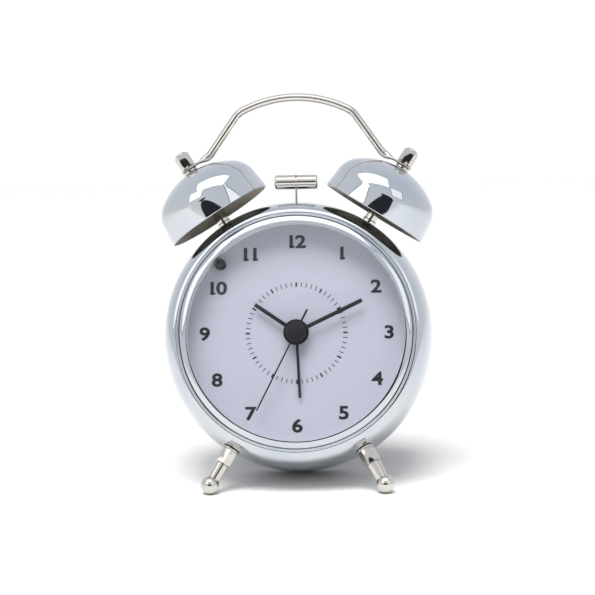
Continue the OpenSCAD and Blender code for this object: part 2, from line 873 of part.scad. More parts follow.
// A plate on a hinge barrel, with a pin at each end of the barrel
module battery_door() {
    half_w = bay_w / 2 - door_gap;
    color(abs_dark) clock() {
        bay_place() translate([-half_w, -bay_len / 2 + door_gap + hinge_r, cover_rear])
            cube([2 * half_w, bay_len - 2 * door_gap - hinge_r, cover_t]);
        hinge_axis() disc(hinge_r, -half_w, half_w);
        hinge_axis() disc(hinge_pin_r, -half_w - hinge_pin_reach, half_w + hinge_pin_reach);
    }
}

module battery() {
    body = cell_len - 1.2;
    color([0.25, 0.3, 0.38]) clock() bay_place()
        translate([0, -cell_len / 2 + 0.75, cell_z]) rotate([-90, 0, 0]) {
            cylinder(r = cell_r, h = body);
            cylinder(r = 2.7, h = cell_len);
        }
}

module battery_plates() {
    plus_y = cell_len / 2 + 0.75;
    color(steel) clock() bay_place() {
        translate([-5, plus_y, cell_z - 5]) cube([10, 0.4, 10]);
        translate([-5, -bay_len / 2 + 0.05, cell_z - 5]) cube([10, 0.4, 10]);
    }
}

// Compression spring: a round wire swept along a helix, as one closed skin
function spring_ring(centre, radial, up, r, sides) =
    [for (s = [0:sides - 1])
        centre + r * cos(s * 360 / sides) * radial + r * sin(s * 360 / sides) * up];
function spring_points(r, wire, length, turns, sides, steps) =
    [for (i = [0:steps]) let (a = 360 * turns * i / steps)
        each spring_ring(
            [r * cos(a), r * sin(a), wire + (length - 2 * wire) * i / steps],
            [cos(a), sin(a), 0], [0, 0, 1], wire, sides)];
function skin_faces(rings, sides) = concat(
    [[for (s = [0:sides - 1]) s]],
    [for (i = [0:rings - 2], s = [0:sides - 1]) let (n = (s + 1) % sides)
        [i * sides + s, (i + 1) * sides + s, (i + 1) * sides + n, i * sides + n]],
    [[for (s = [sides - 1:-1:0]) (rings - 1) * sides + s]]);

module battery_spring() {
    turns = 2.5;
    steps = 40;
    sides = 8;
    room = bay_len / 2 - cell_len / 2 + 0.75 - 0.45 - 0.05;
    color(steel) clock() bay_place() translate([0, -bay_len / 2 + 0.47, cell_z])
        rotate([-90, 0, 0]) polyhedron(
            spring_points(3.6, 0.22, room - 0.05, turns, sides, steps),
            skin_faces(steps + 1, sides));
}

module alarm_switch() {
    color([0.75, 0.76, 0.78]) clock() translate(switch_at) translate([0, -switch_travel / 2, 0]) {
        translate([-1, -1, cover_rear - 0.3]) cube([2, 2, cover_t + case_wall + 1.5]);
        translate([-2.5, -2, cover_rear - 2.3]) cube([5, 4, 2]);
    }
}

module light_button() {
    inside = cover_front + case_wall + 0.1;
    color([0.75, 0.76, 0.78]) clock() translate(button_at) {
        disc(button_r, cover_rear - button_travel - 0.5, inside + 1);
        disc(button_r + 1, inside, inside + 1);
    }
}

// Bells, posts and handle

// A bell's outside: crown, shoulder and a nearly straight skirt, as [radius, height]
shoulder_bell_r = 11.5;
crown_bell_r = 31;
skirt_in = 0.8;

function bell_outline(mouth_r, h, inset) =
    let (
        sr = shoulder_bell_r - inset,
        cr = crown_bell_r - inset,
        cx = mouth_r - skirt_in - shoulder_bell_r,
        lean_in = asin(cx / (crown_bell_r - shoulder_bell_r)),
        cy = h - crown_bell_r + (crown_bell_r - shoulder_bell_r) * cos(lean_in)
    ) concat(
        [[mouth_r - inset, 0]],
        arc([cx, cy], sr, 0, 90 - lean_in, 10),
        arc([0, h - crown_bell_r], cr, 90 - lean_in, 90, 8)
    );

module bell(side) {
    mouth_r = bell_d / 2;
    color(chrome) bell_axis(side) translate([0, 0, mouth_d]) difference() {
        rotate_extrude() difference() {
            polygon(concat(bell_outline(mouth_r, bell_h, 0), [[0, 0]]));
            translate([0, -0.01])
                polygon(concat(bell_outline(mouth_r, bell_h, bell_wall), [[0, 0]]));
        }
        translate([0, 0, bell_h - 5]) cylinder(r = stud_d / 2 + shaft_gap, h = 9);
    }
}

module bell_left() {
    bell(-1);
}

module bell_right() {
    bell(1);
}

module bell_post(side) {
    inner_crown_r = crown_bell_r - bell_wall;
    crown_sag = inner_crown_r - sqrt(pow(inner_crown_r, 2) - pow(post_d / 2, 2));
    crown_under = crown_d - bell_wall - crown_sag - 0.02;
    color(nickel) bell_axis(side) {
        disc(stud_d / 2, seat_d - stud_in, strap_d + tab_t + 4.5);
        disc(post_d / 2, seat_d, crown_under);
    }
}

module bell_post_left() {
    bell_post(-1);
}

module bell_post_right() {
    bell_post(1);
}

module bell_washers() {
    color(nickel) both_sides() {
        bell_axis($side) tube(bell_washer_d / 2, stud_d / 2, crown_d, strap_d);
    }
}

module bell_nuts() {
    base = strap_d + tab_t;
    dome_r = bell_nut_w / 2 / cos(30);
    color(nickel) both_sides() {
        bell_axis($side) difference() {
            intersection() {
                translate([0, 0, base]) hexagon(bell_nut_w, bell_nut_h);
                union() {
                    disc(dome_r, base, base + bell_nut_h - dome_r * 0.8);
                    translate([0, 0, base + bell_nut_h - dome_r]) sphere(r = dome_r, $fn = 48);
                }
            }
            disc(stud_d / 2, base - 1, base + 4.5);
        }
    }
}

// Nuts on the studs inside the case
module stud_nuts() {
    color(steel) both_sides() {
        bell_axis($side) difference() {
            translate([0, 0, seat_d - case_wall - 0.7 - stud_nut_h]) hexagon(5.4, stud_nut_h);
            disc(stud_d / 2, seat_d - 9, seat_d);
        }
        foot_axis($side) difference() {
            translate([0, 0, -case_wall - 0.5 - stud_nut_h]) hexagon(5, stud_nut_h);
            disc(stud_d / 2, -9, 0);
        }
    }
}

function from_twelve(a) = [sin(a), cos(a)];
function downhill(a) = [cos(a), -sin(a)];

// Half of the handle as stations along the wire, from the top of the arch to the tab's round end:
// [point, angle of the normal from twelve, half thickness, half width, squareness]
shoulder_c = [0, arch_y] + (arch_r - shoulder_r) * from_twelve(arch_end);
leg_start = shoulder_c + shoulder_r * from_twelve(leg_angle);
leg_end = leg_start + leg_len * downhill(leg_angle);
heel_c = leg_end + heel_r * from_twelve(leg_angle);
tab_start = heel_c - heel_r * from_twelve(bell_angle);
press_len = tab_len - tab_w / 2 - 0.5;

function round_station(p, a) = [p, a, wire_r, wire_r, 1];
function tab_station(along, share, w) =
    [tab_start + along * downhill(bell_angle), bell_angle,
        wire_r + (tab_t / 2 - wire_r) * share, w, 1 - 0.65 * share];
handle_stations = concat(
    [for (i = [0:9]) let (a = arch_end * i / 10)
        round_station([0, arch_y] + arch_r * from_twelve(a), a)],
    [for (i = [0:5]) let (a = arch_end + (leg_angle - arch_end) * i / 5)
        round_station(shoulder_c + shoulder_r * from_twelve(a), a)],
    [for (i = [0:4]) let (a = leg_angle + (bell_angle - leg_angle) * i / 4)
        round_station(heel_c - heel_r * from_twelve(a), a)],
    [for (i = [1:4]) let (f = i / 4, ease = f * f * (3 - 2 * f))
        tab_station(press_len * f, ease, wire_r + (tab_w / 2 - wire_r) * ease)],
    [for (i = [0:5]) let (a = 84 * i / 5)
        tab_station(tab_len + tab_w / 2 * sin(a), 1, tab_w / 2 * cos(a))]
);
handle_path = concat(
    [for (i = [len(handle_stations) - 1:-1:1]) let (s = handle_stations[i])
        [[-s[0][0], s[0][1]], -s[1], s[2], s[3], s[4]]],
    handle_stations
);

function squared(v, power) = sign(v) * pow(abs(v), power);
function handle_ring(s, sides) =
    [for (k = [0:sides - 1])
        let (a = k * 360 / sides, across = s[2] * squared(cos(a), s[4]))
        [s[0][0] + across * sin(s[1]), s[0][1] + across * cos(s[1]), s[3] * squared(sin(a), s[4])]];

module handle() {
    sides = 16;
    color(nickel) difference() {
        bell_plane() polyhedron(
            [for (s = handle_path) each handle_ring(s, sides)],
            skin_faces(len(handle_path), sides));
        both_sides() {
            bell_axis($side) disc(stud_d / 2 + shaft_gap, strap_d - 3, strap_d + 5);
        }
    }
}

// Feet

module foot(side) {
    color(nickel) foot_axis(side) {
        disc(stud_d / 2, -4, collar_0 + 1);
        translate([0, 0, collar_0]) hexagon(foot_hex, foot_collar - 0.4);
        disc(foot_hex / 2 - 0.35, taper_0 - 0.4, taper_0);
        translate([0, 0, taper_0]) cylinder(r1 = foot_hex / 2, r2 = taper_end_r, h = foot_taper);
        translate([0, 0, ball_c]) sphere(r = ball_r);
    }
}

module foot_left() {
    foot(-1);
}

module foot_right() {
    foot(1);
}

module foot_washers() {
    color(steel) both_sides() {
        foot_axis($side) tube(foot_washer_d / 2, stud_d / 2, foot_lift, collar_0);
    }
}

// Hammer and striker

eye_r = 1.8;
pin_r = 1;

module hammer_head() {
    half = head_len / 2;
    bevel = 0.6;
    color(nickel) bell_plane() translate([0, head_y, 0]) rotate([0, 90, 0]) difference() {
        rotate_extrude() polygon([
            [0, -half], [head_d / 2 - bevel, -half], [head_d / 2, -half + bevel],
            [head_d / 2, half - bevel], [head_d / 2 - bevel, half], [0, half]
        ]);
        translate([-arm_w / 2, -head_d, -arm_t / 2]) cube([arm_w, 2 * head_d, arm_t]);
    }
}

module hammer_arm() {
    tail = pivot_y - 11;
    top = head_y + sqrt(pow(head_d / 2, 2) - pow(arm_w / 2, 2)) - 0.02;
    color(steel) bell_plane() difference() {
        union() {
            translate([-arm_t / 2, tail, -arm_w / 2]) cube([arm_t, top - tail, arm_w]);
            translate([0, pivot_y, 0]) disc(eye_r, -3, 3);
            translate([arm_t / 2, tail, -2.5]) cube([1.5, 8, 5]);
        }
        translate([0, pivot_y, 0]) disc(pin_r + shaft_gap, -4, 4);
    }
}

module hammer_pivot() {
    color(steel) bell_plane() translate([0, pivot_y, 0]) {
        disc(pin_r, -striker_deep, 3.3);
        disc(pin_r + 0.8, 3.3, 4);
    }
}

// Base plate, flange under the top of the case, cheek and core
module striker_frame() {
    plate_t = 1;
    flange_y = lip_r - 0.2;
    color(steel) bell_plane() {
        difference() {
            translate([-9, core_y - 6, -striker_deep])
                cube([cheek_x + 10.2, flange_y - core_y + 5, plate_t]);
            translate([0, pivot_y, 0]) disc(pin_r, -10, 0);
            translate([9.5, pivot_y + 1.5, -10]) cube([20, 20, 20]);
        }
        translate([-9, flange_y - 1.2, -striker_deep - 4.5]) cube([18, 1, 5]);
        translate([cheek_x, core_y - 5.5, -striker_deep + 0.5]) cube([1.2, 11, striker_deep + 5]);
        translate([0, core_y, 0]) rotate([0, 90, 0]) disc(2.5, pole_x, cheek_x + 1);
    }
}

module striker_coil() {
    color(copper) bell_plane() translate([0, core_y, 0]) rotate([0, 90, 0])
        tube(5.5, 2.5 + seat_gap, pole_x + 0.8, cheek_x - 0.2);
}

// Insulated leads between the battery bay, the movement, the striker and the lamp. Each route is
// a few chosen points, rounded into a smooth curve.
lead_r = 0.6;
bay_edge = cell_x + bay_w / 2 + bay_wall;
lead_z = movement_rear - 1.2;
plus_route = [[bay_edge + 0.7, 24, cell_z], [bay_edge + 2, 25, cell_z + 5], [-4, 24, lead_z - 3],
    [7, 22, lead_z], [16, 12, lead_z], [18, -6, lead_z]];
minus_route = [[bay_edge + 0.7, -24, cell_z], [bay_edge + 2, -25, cell_z + 5],
    [-4, -26, lead_z - 2], [6, -25.5, lead_z], [14, -20, lead_z]];
striker_route = [[21, -8, lead_z], [24, 8, lead_z], [25, core_y - 9, lead_z],
    [25, core_y - 4.5, lead_z + 2], [23.5, core_y - 1.5, lead_z + 7]];

function halfway(a, b) = (a + b) / 2;
// A quadratic curve through the middles of the route's legs
function smooth_route(p, steps = 4) = concat(
    [p[0]],
    [for (i = [1:len(p) - 2], j = [0:steps - 1]) let (t = j / steps)
        pow(1 - t, 2) * halfway(p[i - 1], p[i]) + 2 * t * (1 - t) * p[i]
            + t * t * halfway(p[i], p[i + 1])],
    [p[len(p) - 1]]);
function unit(v) = v / norm(v);
function lead_ring(p, i, sides) =
    let (
        ahead = unit(p[min(i + 1, len(p) - 1)] - p[max(i - 1, 0)]),
        side = unit(cross(ahead, [0.3, 0.1, 1])),
        up = cross(side, ahead)
    ) spring_ring(p[i], side, up, lead_r, sides);

module lead(route) {
    sides = 8;
    p = smooth_route(route);
    polyhedron([for (i = [0:len(p) - 1]) each lead_ring(p, i, sides)], skin_faces(len(p), sides));
}

module internal_leads() {
    color([0.7, 0.12, 0.1]) clock() {
        lead(plus_route);
        lead(minus_route);
        lead(striker_route);
    }
}

case_shell();
bezel_ring();
lens();
reflector_ring();
dial();
dial_carrier();
dial_nut();
frame_pillars();
carrier_screws();
movement_case();
movement_back();
circuit_board();
coil_bobbin();
coil_winding();
stator();
rotor();
rotor_idler();
second_wheel();
third_wheel();
centre_wheel();
cannon_pinion();
motion_wheel();
hour_wheel();
alarm_wheel();
alarm_stem();
time_stem();
alarm_knob();
time_knob();
hour_hand();
minute_hand();
second_hand();
alarm_hand();
hub_cap();
dial_lamp();
lamp_hood();
back_cover();
battery_door();
battery();
battery_plates();
battery_spring();
cover_screws();
alarm_switch();
light_button();
bell_left();
bell_right();
bell_post_left();
bell_post_right();
bell_washers();
bell_nuts();
stud_nuts();
handle();
foot_left();
foot_right();
foot_washers();
hammer_head();
hammer_arm();
hammer_pivot();
striker_frame();
striker_coil();
internal_leads();
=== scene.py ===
# %% [markdown]
# # A twin-bell alarm clock, piece by piece
# The clock is a pressed steel drum, chromed all over, that leans back on two turned feet. Its
# engineering model is loaded first and fixes where everything sits and how it moves. What the
# eye meets is then modelled over it: turned metal, pressed metal, print, paint and moulded ABS.

import json
import math

import bpy
from mathutils import Matrix, Vector


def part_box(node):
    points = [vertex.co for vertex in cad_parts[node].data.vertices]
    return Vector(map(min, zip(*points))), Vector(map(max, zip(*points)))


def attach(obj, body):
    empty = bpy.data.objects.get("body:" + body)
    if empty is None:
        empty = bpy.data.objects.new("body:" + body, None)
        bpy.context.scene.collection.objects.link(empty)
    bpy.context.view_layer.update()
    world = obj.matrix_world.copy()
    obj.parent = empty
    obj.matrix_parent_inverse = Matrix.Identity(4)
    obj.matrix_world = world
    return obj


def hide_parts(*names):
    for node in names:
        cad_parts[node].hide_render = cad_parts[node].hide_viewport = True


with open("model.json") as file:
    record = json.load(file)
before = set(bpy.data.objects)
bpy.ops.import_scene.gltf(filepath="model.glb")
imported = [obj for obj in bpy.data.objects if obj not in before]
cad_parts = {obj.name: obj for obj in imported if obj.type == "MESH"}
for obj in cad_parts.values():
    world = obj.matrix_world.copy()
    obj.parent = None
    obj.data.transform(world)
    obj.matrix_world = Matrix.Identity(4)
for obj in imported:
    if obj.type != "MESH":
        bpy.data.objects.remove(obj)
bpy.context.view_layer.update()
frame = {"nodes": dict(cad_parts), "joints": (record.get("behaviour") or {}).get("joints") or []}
nodes = frame["nodes"]
joints = {j["name"]: j for j in frame["joints"]}

# %% [markdown]
# ## Where things are
# The clock leans back, so drawing in world axes would be tiresome. The dial has a frame of its
# own: x to three, y to twelve, z out of the dial towards the reader. The model gives it away:
# every hand turns about the dial's axis. The bells, handle and hammer stand in a second plane,
# tilted a little forward, which is the plane that the hammer swings in.

# %% The two working frames
MM = 0.001
X = Vector((1, 0, 0))


def frame_from(z_axis, origin, x_axis=X):
    z = Vector(z_axis).normalized()
    y = z.cross(Vector(x_axis)).normalized()
    x = y.cross(z)
    m = Matrix((x, y, z)).transposed().to_4x4()
    m.translation = Vector(origin)
    return m


DIAL = frame_from(-Vector(joints["second_spin"]["axis"]), joints["second_spin"]["pos_m"])
PIVOT_Y = 45
HAMMER = frame_from(joints["hammer_swing"]["axis"], joints["hammer_swing"]["pos_m"])
PLANE = HAMMER @ Matrix.Translation((0, -PIVOT_Y * MM, 0))
lean = math.degrees(math.asin(DIAL.to_3x3().col[2].z))
print("lean", round(lean, 2), "deg; dial centre", [round(v, 4) for v in DIAL.translation])

# %% Frames along a bell's axis and along a foot
BELL_ANGLE = 32.4
FOOT_SPLAY = 30
FOOT_TILT = 13.05
FOOT_ROOT = (55.94, -1)


def bell_frame(side):
    a = math.radians(BELL_ANGLE)
    m = PLANE.to_3x3()
    z = m @ Vector((side * math.sin(a), math.cos(a), 0))
    return frame_from(z, PLANE.translation, m @ Vector((math.cos(a), -side * math.sin(a), 0)))


def foot_frame(side):
    a, t = math.radians(FOOT_SPLAY), math.radians(FOOT_TILT)
    radial = Vector((side * math.sin(a), -math.cos(a), 0))
    z = radial * math.cos(t) + Vector((0, 0, 1)) * math.sin(t)
    root = radial * FOOT_ROOT[0] * MM + Vector((0, 0, FOOT_ROOT[1] * MM))
    m = DIAL.to_3x3()
    return frame_from(m @ z, DIAL @ root, m @ Vector((math.cos(a), side * math.sin(a), 0)))


# %% [markdown]
# ## The camera
# It stands a little to the right of the clock and just above it, far enough off for the case to
# look almost square-on, and it is rolled by one degree.

# %% Camera
CAMERA = {"azimuth": 3.0, "elevation": 5.7, "distance": 0.635, "roll": -1.1, "lens": 88.8}
AIM = Vector((-0.0003, 0, 0.0783))


def add_camera():
    a, e = math.radians(CAMERA["azimuth"]), math.radians(CAMERA["elevation"])
    back = Vector((math.sin(a) * math.cos(e), -math.cos(a) * math.cos(e), math.sin(e)))
    data = bpy.data.cameras.new("camera")
    data.lens = CAMERA["lens"]
    data.sensor_width = 36
    data.clip_start = 0.01
    cam = bpy.data.objects.new("camera", data)
    bpy.context.scene.collection.objects.link(cam)
    look = frame_from(back, AIM + back * CAMERA["distance"], Vector((0, 0, 1)).cross(back))
    cam.matrix_world = look @ Matrix.Rotation(math.radians(CAMERA["roll"]), 4, "Z")
    bpy.context.scene.camera = cam
    return cam


camera = add_camera()
print("camera at", [round(v, 3) for v in camera.matrix_world.translation])

# %% [markdown]
# ## Studio
# Polished metal is mostly a picture of the room. The room here is a white tent: a pale world, a
# pale floor and soft panels of light. It is tuned and not one physical room. The world is white to
# the camera, bright in mirrors and dimmer as diffuse light, so that the chrome stays bright while
# the dial keeps its shade. A few dark cards, seen only in mirrors, put the thin dark lines into the
# chrome that tell the eye how it curves.

# %% World and floor
def srgb(hex_code, alpha=1.0):
    channels = [int(hex_code[i : i + 2], 16) / 255 for i in (1, 3, 5)]
    lin = [c / 12.92 if c <= 0.04045 else ((c + 0.055) / 1.055) ** 2.4 for c in channels]
    return (*lin, alpha)


def add_node(tree, kind, settings=None, links=None, **sockets):
    """One node: its settings, its socket values, and links as {input: (node, output)}."""
    n = tree.nodes.new(kind)
    for key, value in (settings or {}).items():
        setattr(n, key, value)
    for key, value in sockets.items():
        n.inputs[key.replace("_", " ")].default_value = value
    for key, (source, output) in (links or {}).items():
        tree.links.new(source.outputs[output], n.inputs[key])
    return n


def build_world():
    world = bpy.data.worlds.new("tent")
    bpy.context.scene.world = world
    world.use_nodes = True
    tree = world.node_tree
    tree.nodes.clear()
    place = add_node(tree, "ShaderNodeTexCoord")
    split = add_node(tree, "ShaderNodeSeparateXYZ", links={"Vector": (place, "Generated")})
    ramp = add_node(tree, "ShaderNodeValToRGB", links={"Fac": (split, "Z")})
    ramp.color_ramp.elements[0].position = 0.0
    ramp.color_ramp.elements[0].color = srgb("#f8f9fc")
    ramp.color_ramp.elements[1].position = 0.9
    ramp.color_ramp.elements[1].color = srgb("#e9eef8")
    ray = add_node(tree, "ShaderNodeLightPath")
    level = add_node(
        tree,
        "ShaderNodeMapRange",
        links={"Value": (ray, "Is Glossy Ray")},
        To_Min=DIFFUSE_LIGHT,
        To_Max=MIRRORED_LIGHT,
    )
    tent = add_node(
        tree,
        "ShaderNodeBackground",
        links={"Color": (ramp, "Color"), "Strength": (level, "Result")},
    )
    backdrop = add_node(
        tree, "ShaderNodeBackground", Color=srgb("#ffffff"), Strength=BACKDROP_LIGHT
    )
    mix = add_node(tree, "ShaderNodeMixShader", links={"Fac": (ray, "Is Camera Ray")})
    tree.links.new(tent.outputs[0], mix.inputs[1])
    tree.links.new(backdrop.outputs[0], mix.inputs[2])
    add_node(tree, "ShaderNodeOutputWorld", links={"Surface": (mix, "Shader")})


DIFFUSE_LIGHT, MIRRORED_LIGHT, BACKDROP_LIGHT = 0.6, 0.98, 1.05
build_world()
bpy.context.scene.view_settings.view_transform = "Standard"

bpy.ops.object.select_all(action="DESELECT")
FLOOR_SIZE, FLOOR_DROP = 12, 0.0001
bpy.ops.mesh.primitive_plane_add(size=FLOOR_SIZE, location=(0, 0, -FLOOR_DROP))
floor = bpy.context.object
floor.name = "floor"


# %% Panels of light and dark cards
CLOCK_MIDDLE = Vector((0, 0, 0.09))


def facing_clock(spot):
    return frame_from(spot - CLOCK_MIDDLE, spot)


def add_panel(name, where, size, radiance):
    """A soft panel that faces the clock; its power follows from its size and its radiance."""
    data = bpy.data.lights.new(name, "AREA")
    data.shape = "RECTANGLE"
    data.size, data.size_y = size
    data.energy = radiance * math.pi * size[0] * size[1]
    panel = bpy.data.objects.new(name, data)
    bpy.context.scene.collection.objects.link(panel)
    panel.matrix_world = facing_clock(Vector(where))
    panel.visible_camera = False


def add_card(name, where, size, shade, corners=4):
    """A dark card that faces the clock, seen in mirrors only: a plane, or round if asked."""
    bpy.ops.object.select_all(action="DESELECT")
    if corners == 4:
        bpy.ops.mesh.primitive_plane_add(size=1)
    else:
        bpy.ops.mesh.primitive_circle_add(vertices=corners, radius=0.5, fill_type="NGON")
    card = bpy.context.object
    card.name = name
    card.matrix_world = facing_clock(Vector(where)) @ Matrix.Diagonal((*size, 1, 1))
    card.visible_camera = False
    card.visible_shadow = False
    card.visible_diffuse = False
    card.data.materials.append(shade)


def add_sun(name, elevation, azimuth, strength, spread):
    """One wide soft light for the whole scene, left out of the reflections."""
    data = bpy.data.lights.new(name, "SUN")
    data.energy = strength
    data.angle = math.radians(spread)
    sun = bpy.data.objects.new(name, data)
    bpy.context.scene.collection.objects.link(sun)
    e, a = math.radians(elevation), math.radians(azimuth)
    towards = Vector((math.sin(a) * math.cos(e), -math.cos(a) * math.cos(e), math.sin(e)))
    sun.matrix_world = frame_from(towards, towards)
    sun.visible_glossy = False


PANELS = {
    "panel_top": ((-0.1, -0.45, 1.1), (1.3, 0.75), 2.0),
    "panel_front_left": ((-0.7, -0.8, 0.66), (0.6, 0.55), 1.8),
    "panel_front_right": ((0.75, -0.75, 0.62), (0.5, 0.55), 1.5),
}
for name, (where, size, radiance) in PANELS.items():
    add_panel(name, where, size, radiance)
add_sun("soft_key", 62, -10, 2.9, 34)

# %% [markdown]
# ## How each finish is made
# One short function starts a material and wires a Principled shader; each finish then adds what
# the real one shows. Grain sizes are real: a texture scale is one over the size in metres.

# %% Material helpers
def per_metre(size_mm):
    return 1000 / size_mm


def start_material(name, base, metallic, roughness, **sockets):
    m = bpy.data.materials.new(name)
    m.use_nodes = True
    tree = m.node_tree
    tree.nodes.clear()
    shader = add_node(tree, "ShaderNodeBsdfPrincipled")
    shader.inputs["Base Color"].default_value = srgb(base)
    shader.inputs["Metallic"].default_value = metallic
    shader.inputs["Roughness"].default_value = roughness
    for key, value in sockets.items():
        shader.inputs[key.replace("_", " ")].default_value = value
    out = add_node(tree, "ShaderNodeOutputMaterial", links={"Surface": (shader, "BSDF")})
    place = add_node(tree, "ShaderNodeTexCoord")
    return m, tree, shader, place


def grain(tree, place, size_mm, detail=3.0, stretch=None):
    source = (place, "Object")
    if stretch:
        turned_space = add_node(tree, "ShaderNodeMapping", links={"Vector": source}, Scale=stretch)
        source = (turned_space, "Vector")
    return add_node(
        tree,
        "ShaderNodeTexNoise",
        links={"Vector": source},
        Scale=per_metre(size_mm),
        Detail=detail,
    )


def vary(tree, shader, source, socket, low, high):
    """Lets a pattern drive a number on the shader between two values."""
    span = add_node(
        tree, "ShaderNodeMapRange", links={"Value": (source, "Fac")}, To_Min=low, To_Max=high
    )
    tree.links.new(span.outputs["Result"], shader.inputs[socket])


def tint(tree, shader, source, dark, light):
    ramp = add_node(tree, "ShaderNodeValToRGB", links={"Fac": (source, "Fac")})
    low, high = ramp.color_ramp.elements
    low.position, high.position = 0.3, 0.7
    low.color, high.color = srgb(dark), srgb(light)
    tree.links.new(ramp.outputs["Color"], shader.inputs["Base Color"])


def emboss(tree, shader, source, depth_mm, strength=1.0):
    bump = add_node(
        tree,
        "ShaderNodeBump",
        links={"Height": (source, "Fac")},
        Strength=strength,
        Distance=depth_mm * MM,
    )
    tree.links.new(bump.outputs["Normal"], shader.inputs["Normal"])


# %% [markdown]
# ### Chrome and nickel
# Bright chrome is a micron of chromium over nickel on a buffed pressing. It copies the room
# almost perfectly and only a little blue; the buffing leaves a faint haze in broad patches.
# Nickel is the warmer of the two, and what is turned from bar shows finer tool lines.

# %% Plated metals
def make_chrome():
    m, tree, shader, place = start_material("chrome_plate_on_buffed_steel", "#c9ccd0", 1.0, 0.05)
    haze = grain(tree, place, 9)
    vary(tree, shader, haze, "Roughness", 0.025, 0.075)
    wipe = grain(tree, place, 22, 1.0)
    tint(tree, shader, wipe, "#bcc1c9", "#c6cacd")
    return m


def make_nickel():
    m, tree, shader, place = start_material("bright_nickel_on_turned_brass", "#c9c5be", 1.0, 0.08)
    lines = grain(tree, place, 5, 1.0)
    vary(tree, shader, lines, "Roughness", 0.06, 0.11)
    tint(tree, shader, grain(tree, place, 12, 1.0), "#c6c2bb", "#cfcbc5")
    return m


def make_steel(name, base, light, rough):
    m, tree, shader, place = start_material(name, base, 1.0, rough)
    rolled = grain(tree, place, 0.5, 4.0, stretch=(1, 1, 12))
    vary(tree, shader, rolled, "Roughness", rough * 0.8, rough * 1.3)
    tint(tree, shader, grain(tree, place, 3), base, light)
    emboss(tree, shader, rolled, 0.004, 0.4)
    return m


def make_bell_inside():
    """Painted shade and reflection for the inside of a bell: a darker warm grey that stands for the
    dim reflections seen there, on a rougher surface.
    """
    m, tree, shader, place = start_material("bell_inside_painted_reflection", "#a19b8f", 0.8, 0.45)
    patches = grain(tree, place, 7)
    tint(tree, shader, patches, "#969083", "#aaa497")
    vary(tree, shader, patches, "Roughness", 0.4, 0.5)
    emboss(tree, shader, grain(tree, place, 0.4, 2.0), 0.004, 0.3)
    return m


chrome = make_chrome()
nickel = make_nickel()
# The bells' insides are painted a darker warm grey: painted shade and reflection, not the metal's
# own colour.
bell_inside_painted_shade = make_bell_inside()
zinc_steel = make_steel("zinc_plated_steel", "#a9adb3", "#bcc0c4", 0.28)
spring_steel = make_steel("blued_spring_steel", "#8b8d92", "#9fa1a5", 0.22)
brass = make_steel("turned_clock_brass", "#b8923f", "#c9a65a", 0.25)
copper = make_steel("enamelled_copper_wire", "#9a4f2c", "#b0633a", 0.3)

# %% [markdown]
# ### Paint, print and moulded plastic
# The dial is an aluminium plate under a silver-white lacquer, matt so that it stays readable. Its
# colour here is a darker grey than the real one, to come out right under this studio's key light.
# Ink on it is screen printed. The hands are painted a blue black. The back is ABS moulded against
# a spark-eroded tool, which leaves an even, fine pebble.

# %% Lacquer, ink and plastics
def make_dial_lacquer():
    m, tree, shader, place = start_material("silver_white_dial_lacquer", "#9c9eaa", 0.0, 0.55)
    fleck = grain(tree, place, 0.35, 2.0)
    tint(tree, shader, fleck, "#999ba8", "#a0a2ae")
    emboss(tree, shader, fleck, 0.006, 0.35)
    vary(tree, shader, grain(tree, place, 4), "Roughness", 0.5, 0.6)
    return m


def make_paint(name, dark, light, rough, grain_mm=0.5):
    m, tree, shader, place = start_material(name, dark, 0.0, rough)
    peel = grain(tree, place, grain_mm, 2.0)
    tint(tree, shader, peel, dark, light)
    vary(tree, shader, peel, "Roughness", rough * 0.85, rough * 1.2)
    emboss(tree, shader, peel, 0.005, 0.3)
    return m


def make_moulded(name, dark, light, rough, pebble_mm, depth_mm):
    m, tree, shader, place = start_material(name, dark, 0.0, rough)
    pebble = add_node(
        tree,
        "ShaderNodeTexVoronoi",
        links={"Vector": (place, "Object")},
        Scale=per_metre(pebble_mm),
    )
    bump = add_node(
        tree,
        "ShaderNodeBump",
        links={"Height": (pebble, "Distance")},
        Strength=0.5,
        Distance=depth_mm * MM,
    )
    tree.links.new(bump.outputs["Normal"], shader.inputs["Normal"])
    flow = grain(tree, place, 14)
    tint(tree, shader, flow, dark, light)
    vary(tree, shader, flow, "Roughness", rough * 0.9, rough * 1.15)
    return m


dial_lacquer = make_dial_lacquer()
dial_ink = make_paint("screen_printed_black_ink", "#0c0c11", "#141419", 0.5, 0.3)
green_ink = make_paint("screen_printed_green_ink", "#7d9f8c", "#8aab97", 0.55, 0.3)
hand_paint = make_paint("satin_blue_black_paint", "#0b0b10", "#131319", 0.38)
floor_paint = make_paint("matt_pale_studio_floor", "#e0dfdd", "#e4e3e1", 0.9, 40)
card_paint = make_paint("matt_dark_card", "#1c1b22", "#25242c", 0.9, 8)
pebble_abs = make_moulded("spark_textured_black_abs", "#1b1c1f", "#232428", 0.5, 0.55, 0.03)
smooth_abs = make_moulded("polished_black_abs", "#141518", "#1b1c20", 0.28, 0.9, 0.004)
grey_abs = make_moulded("moulded_grey_abs", "#b4b7bb", "#c0c3c6", 0.42, 0.5, 0.015)
white_abs = make_moulded("moulded_white_acetal", "#e6e6e4", "#f0f0ee", 0.35, 0.6, 0.006)
red_abs = make_moulded("moulded_red_bobbin_plastic", "#8d2a1e", "#a03428", 0.4, 0.5, 0.01)
solder_mask = make_moulded("green_solder_resist", "#1d5b36", "#25693f", 0.3, 0.4, 0.006)
magnet = make_moulded("bonded_magnet", "#2b2b2d", "#38383a", 0.5, 0.3, 0.01)
floor.data.materials.append(floor_paint)

# %% [markdown]
# ### Clear things
# The lens is a flat pane of float glass. A thin flat pane hardly bends what is behind it, so it is
# made as a see-through surface with a little mirror. Real glass mirrors several times as much; less
# is used so that the tent does not wash out the dial. The lamp is clear epoxy, and the cell wears a
# printed plastic sleeve, banded at one end.

# %% Glass, epoxy and the cell's sleeve
LENS_MIRROR = 0.014


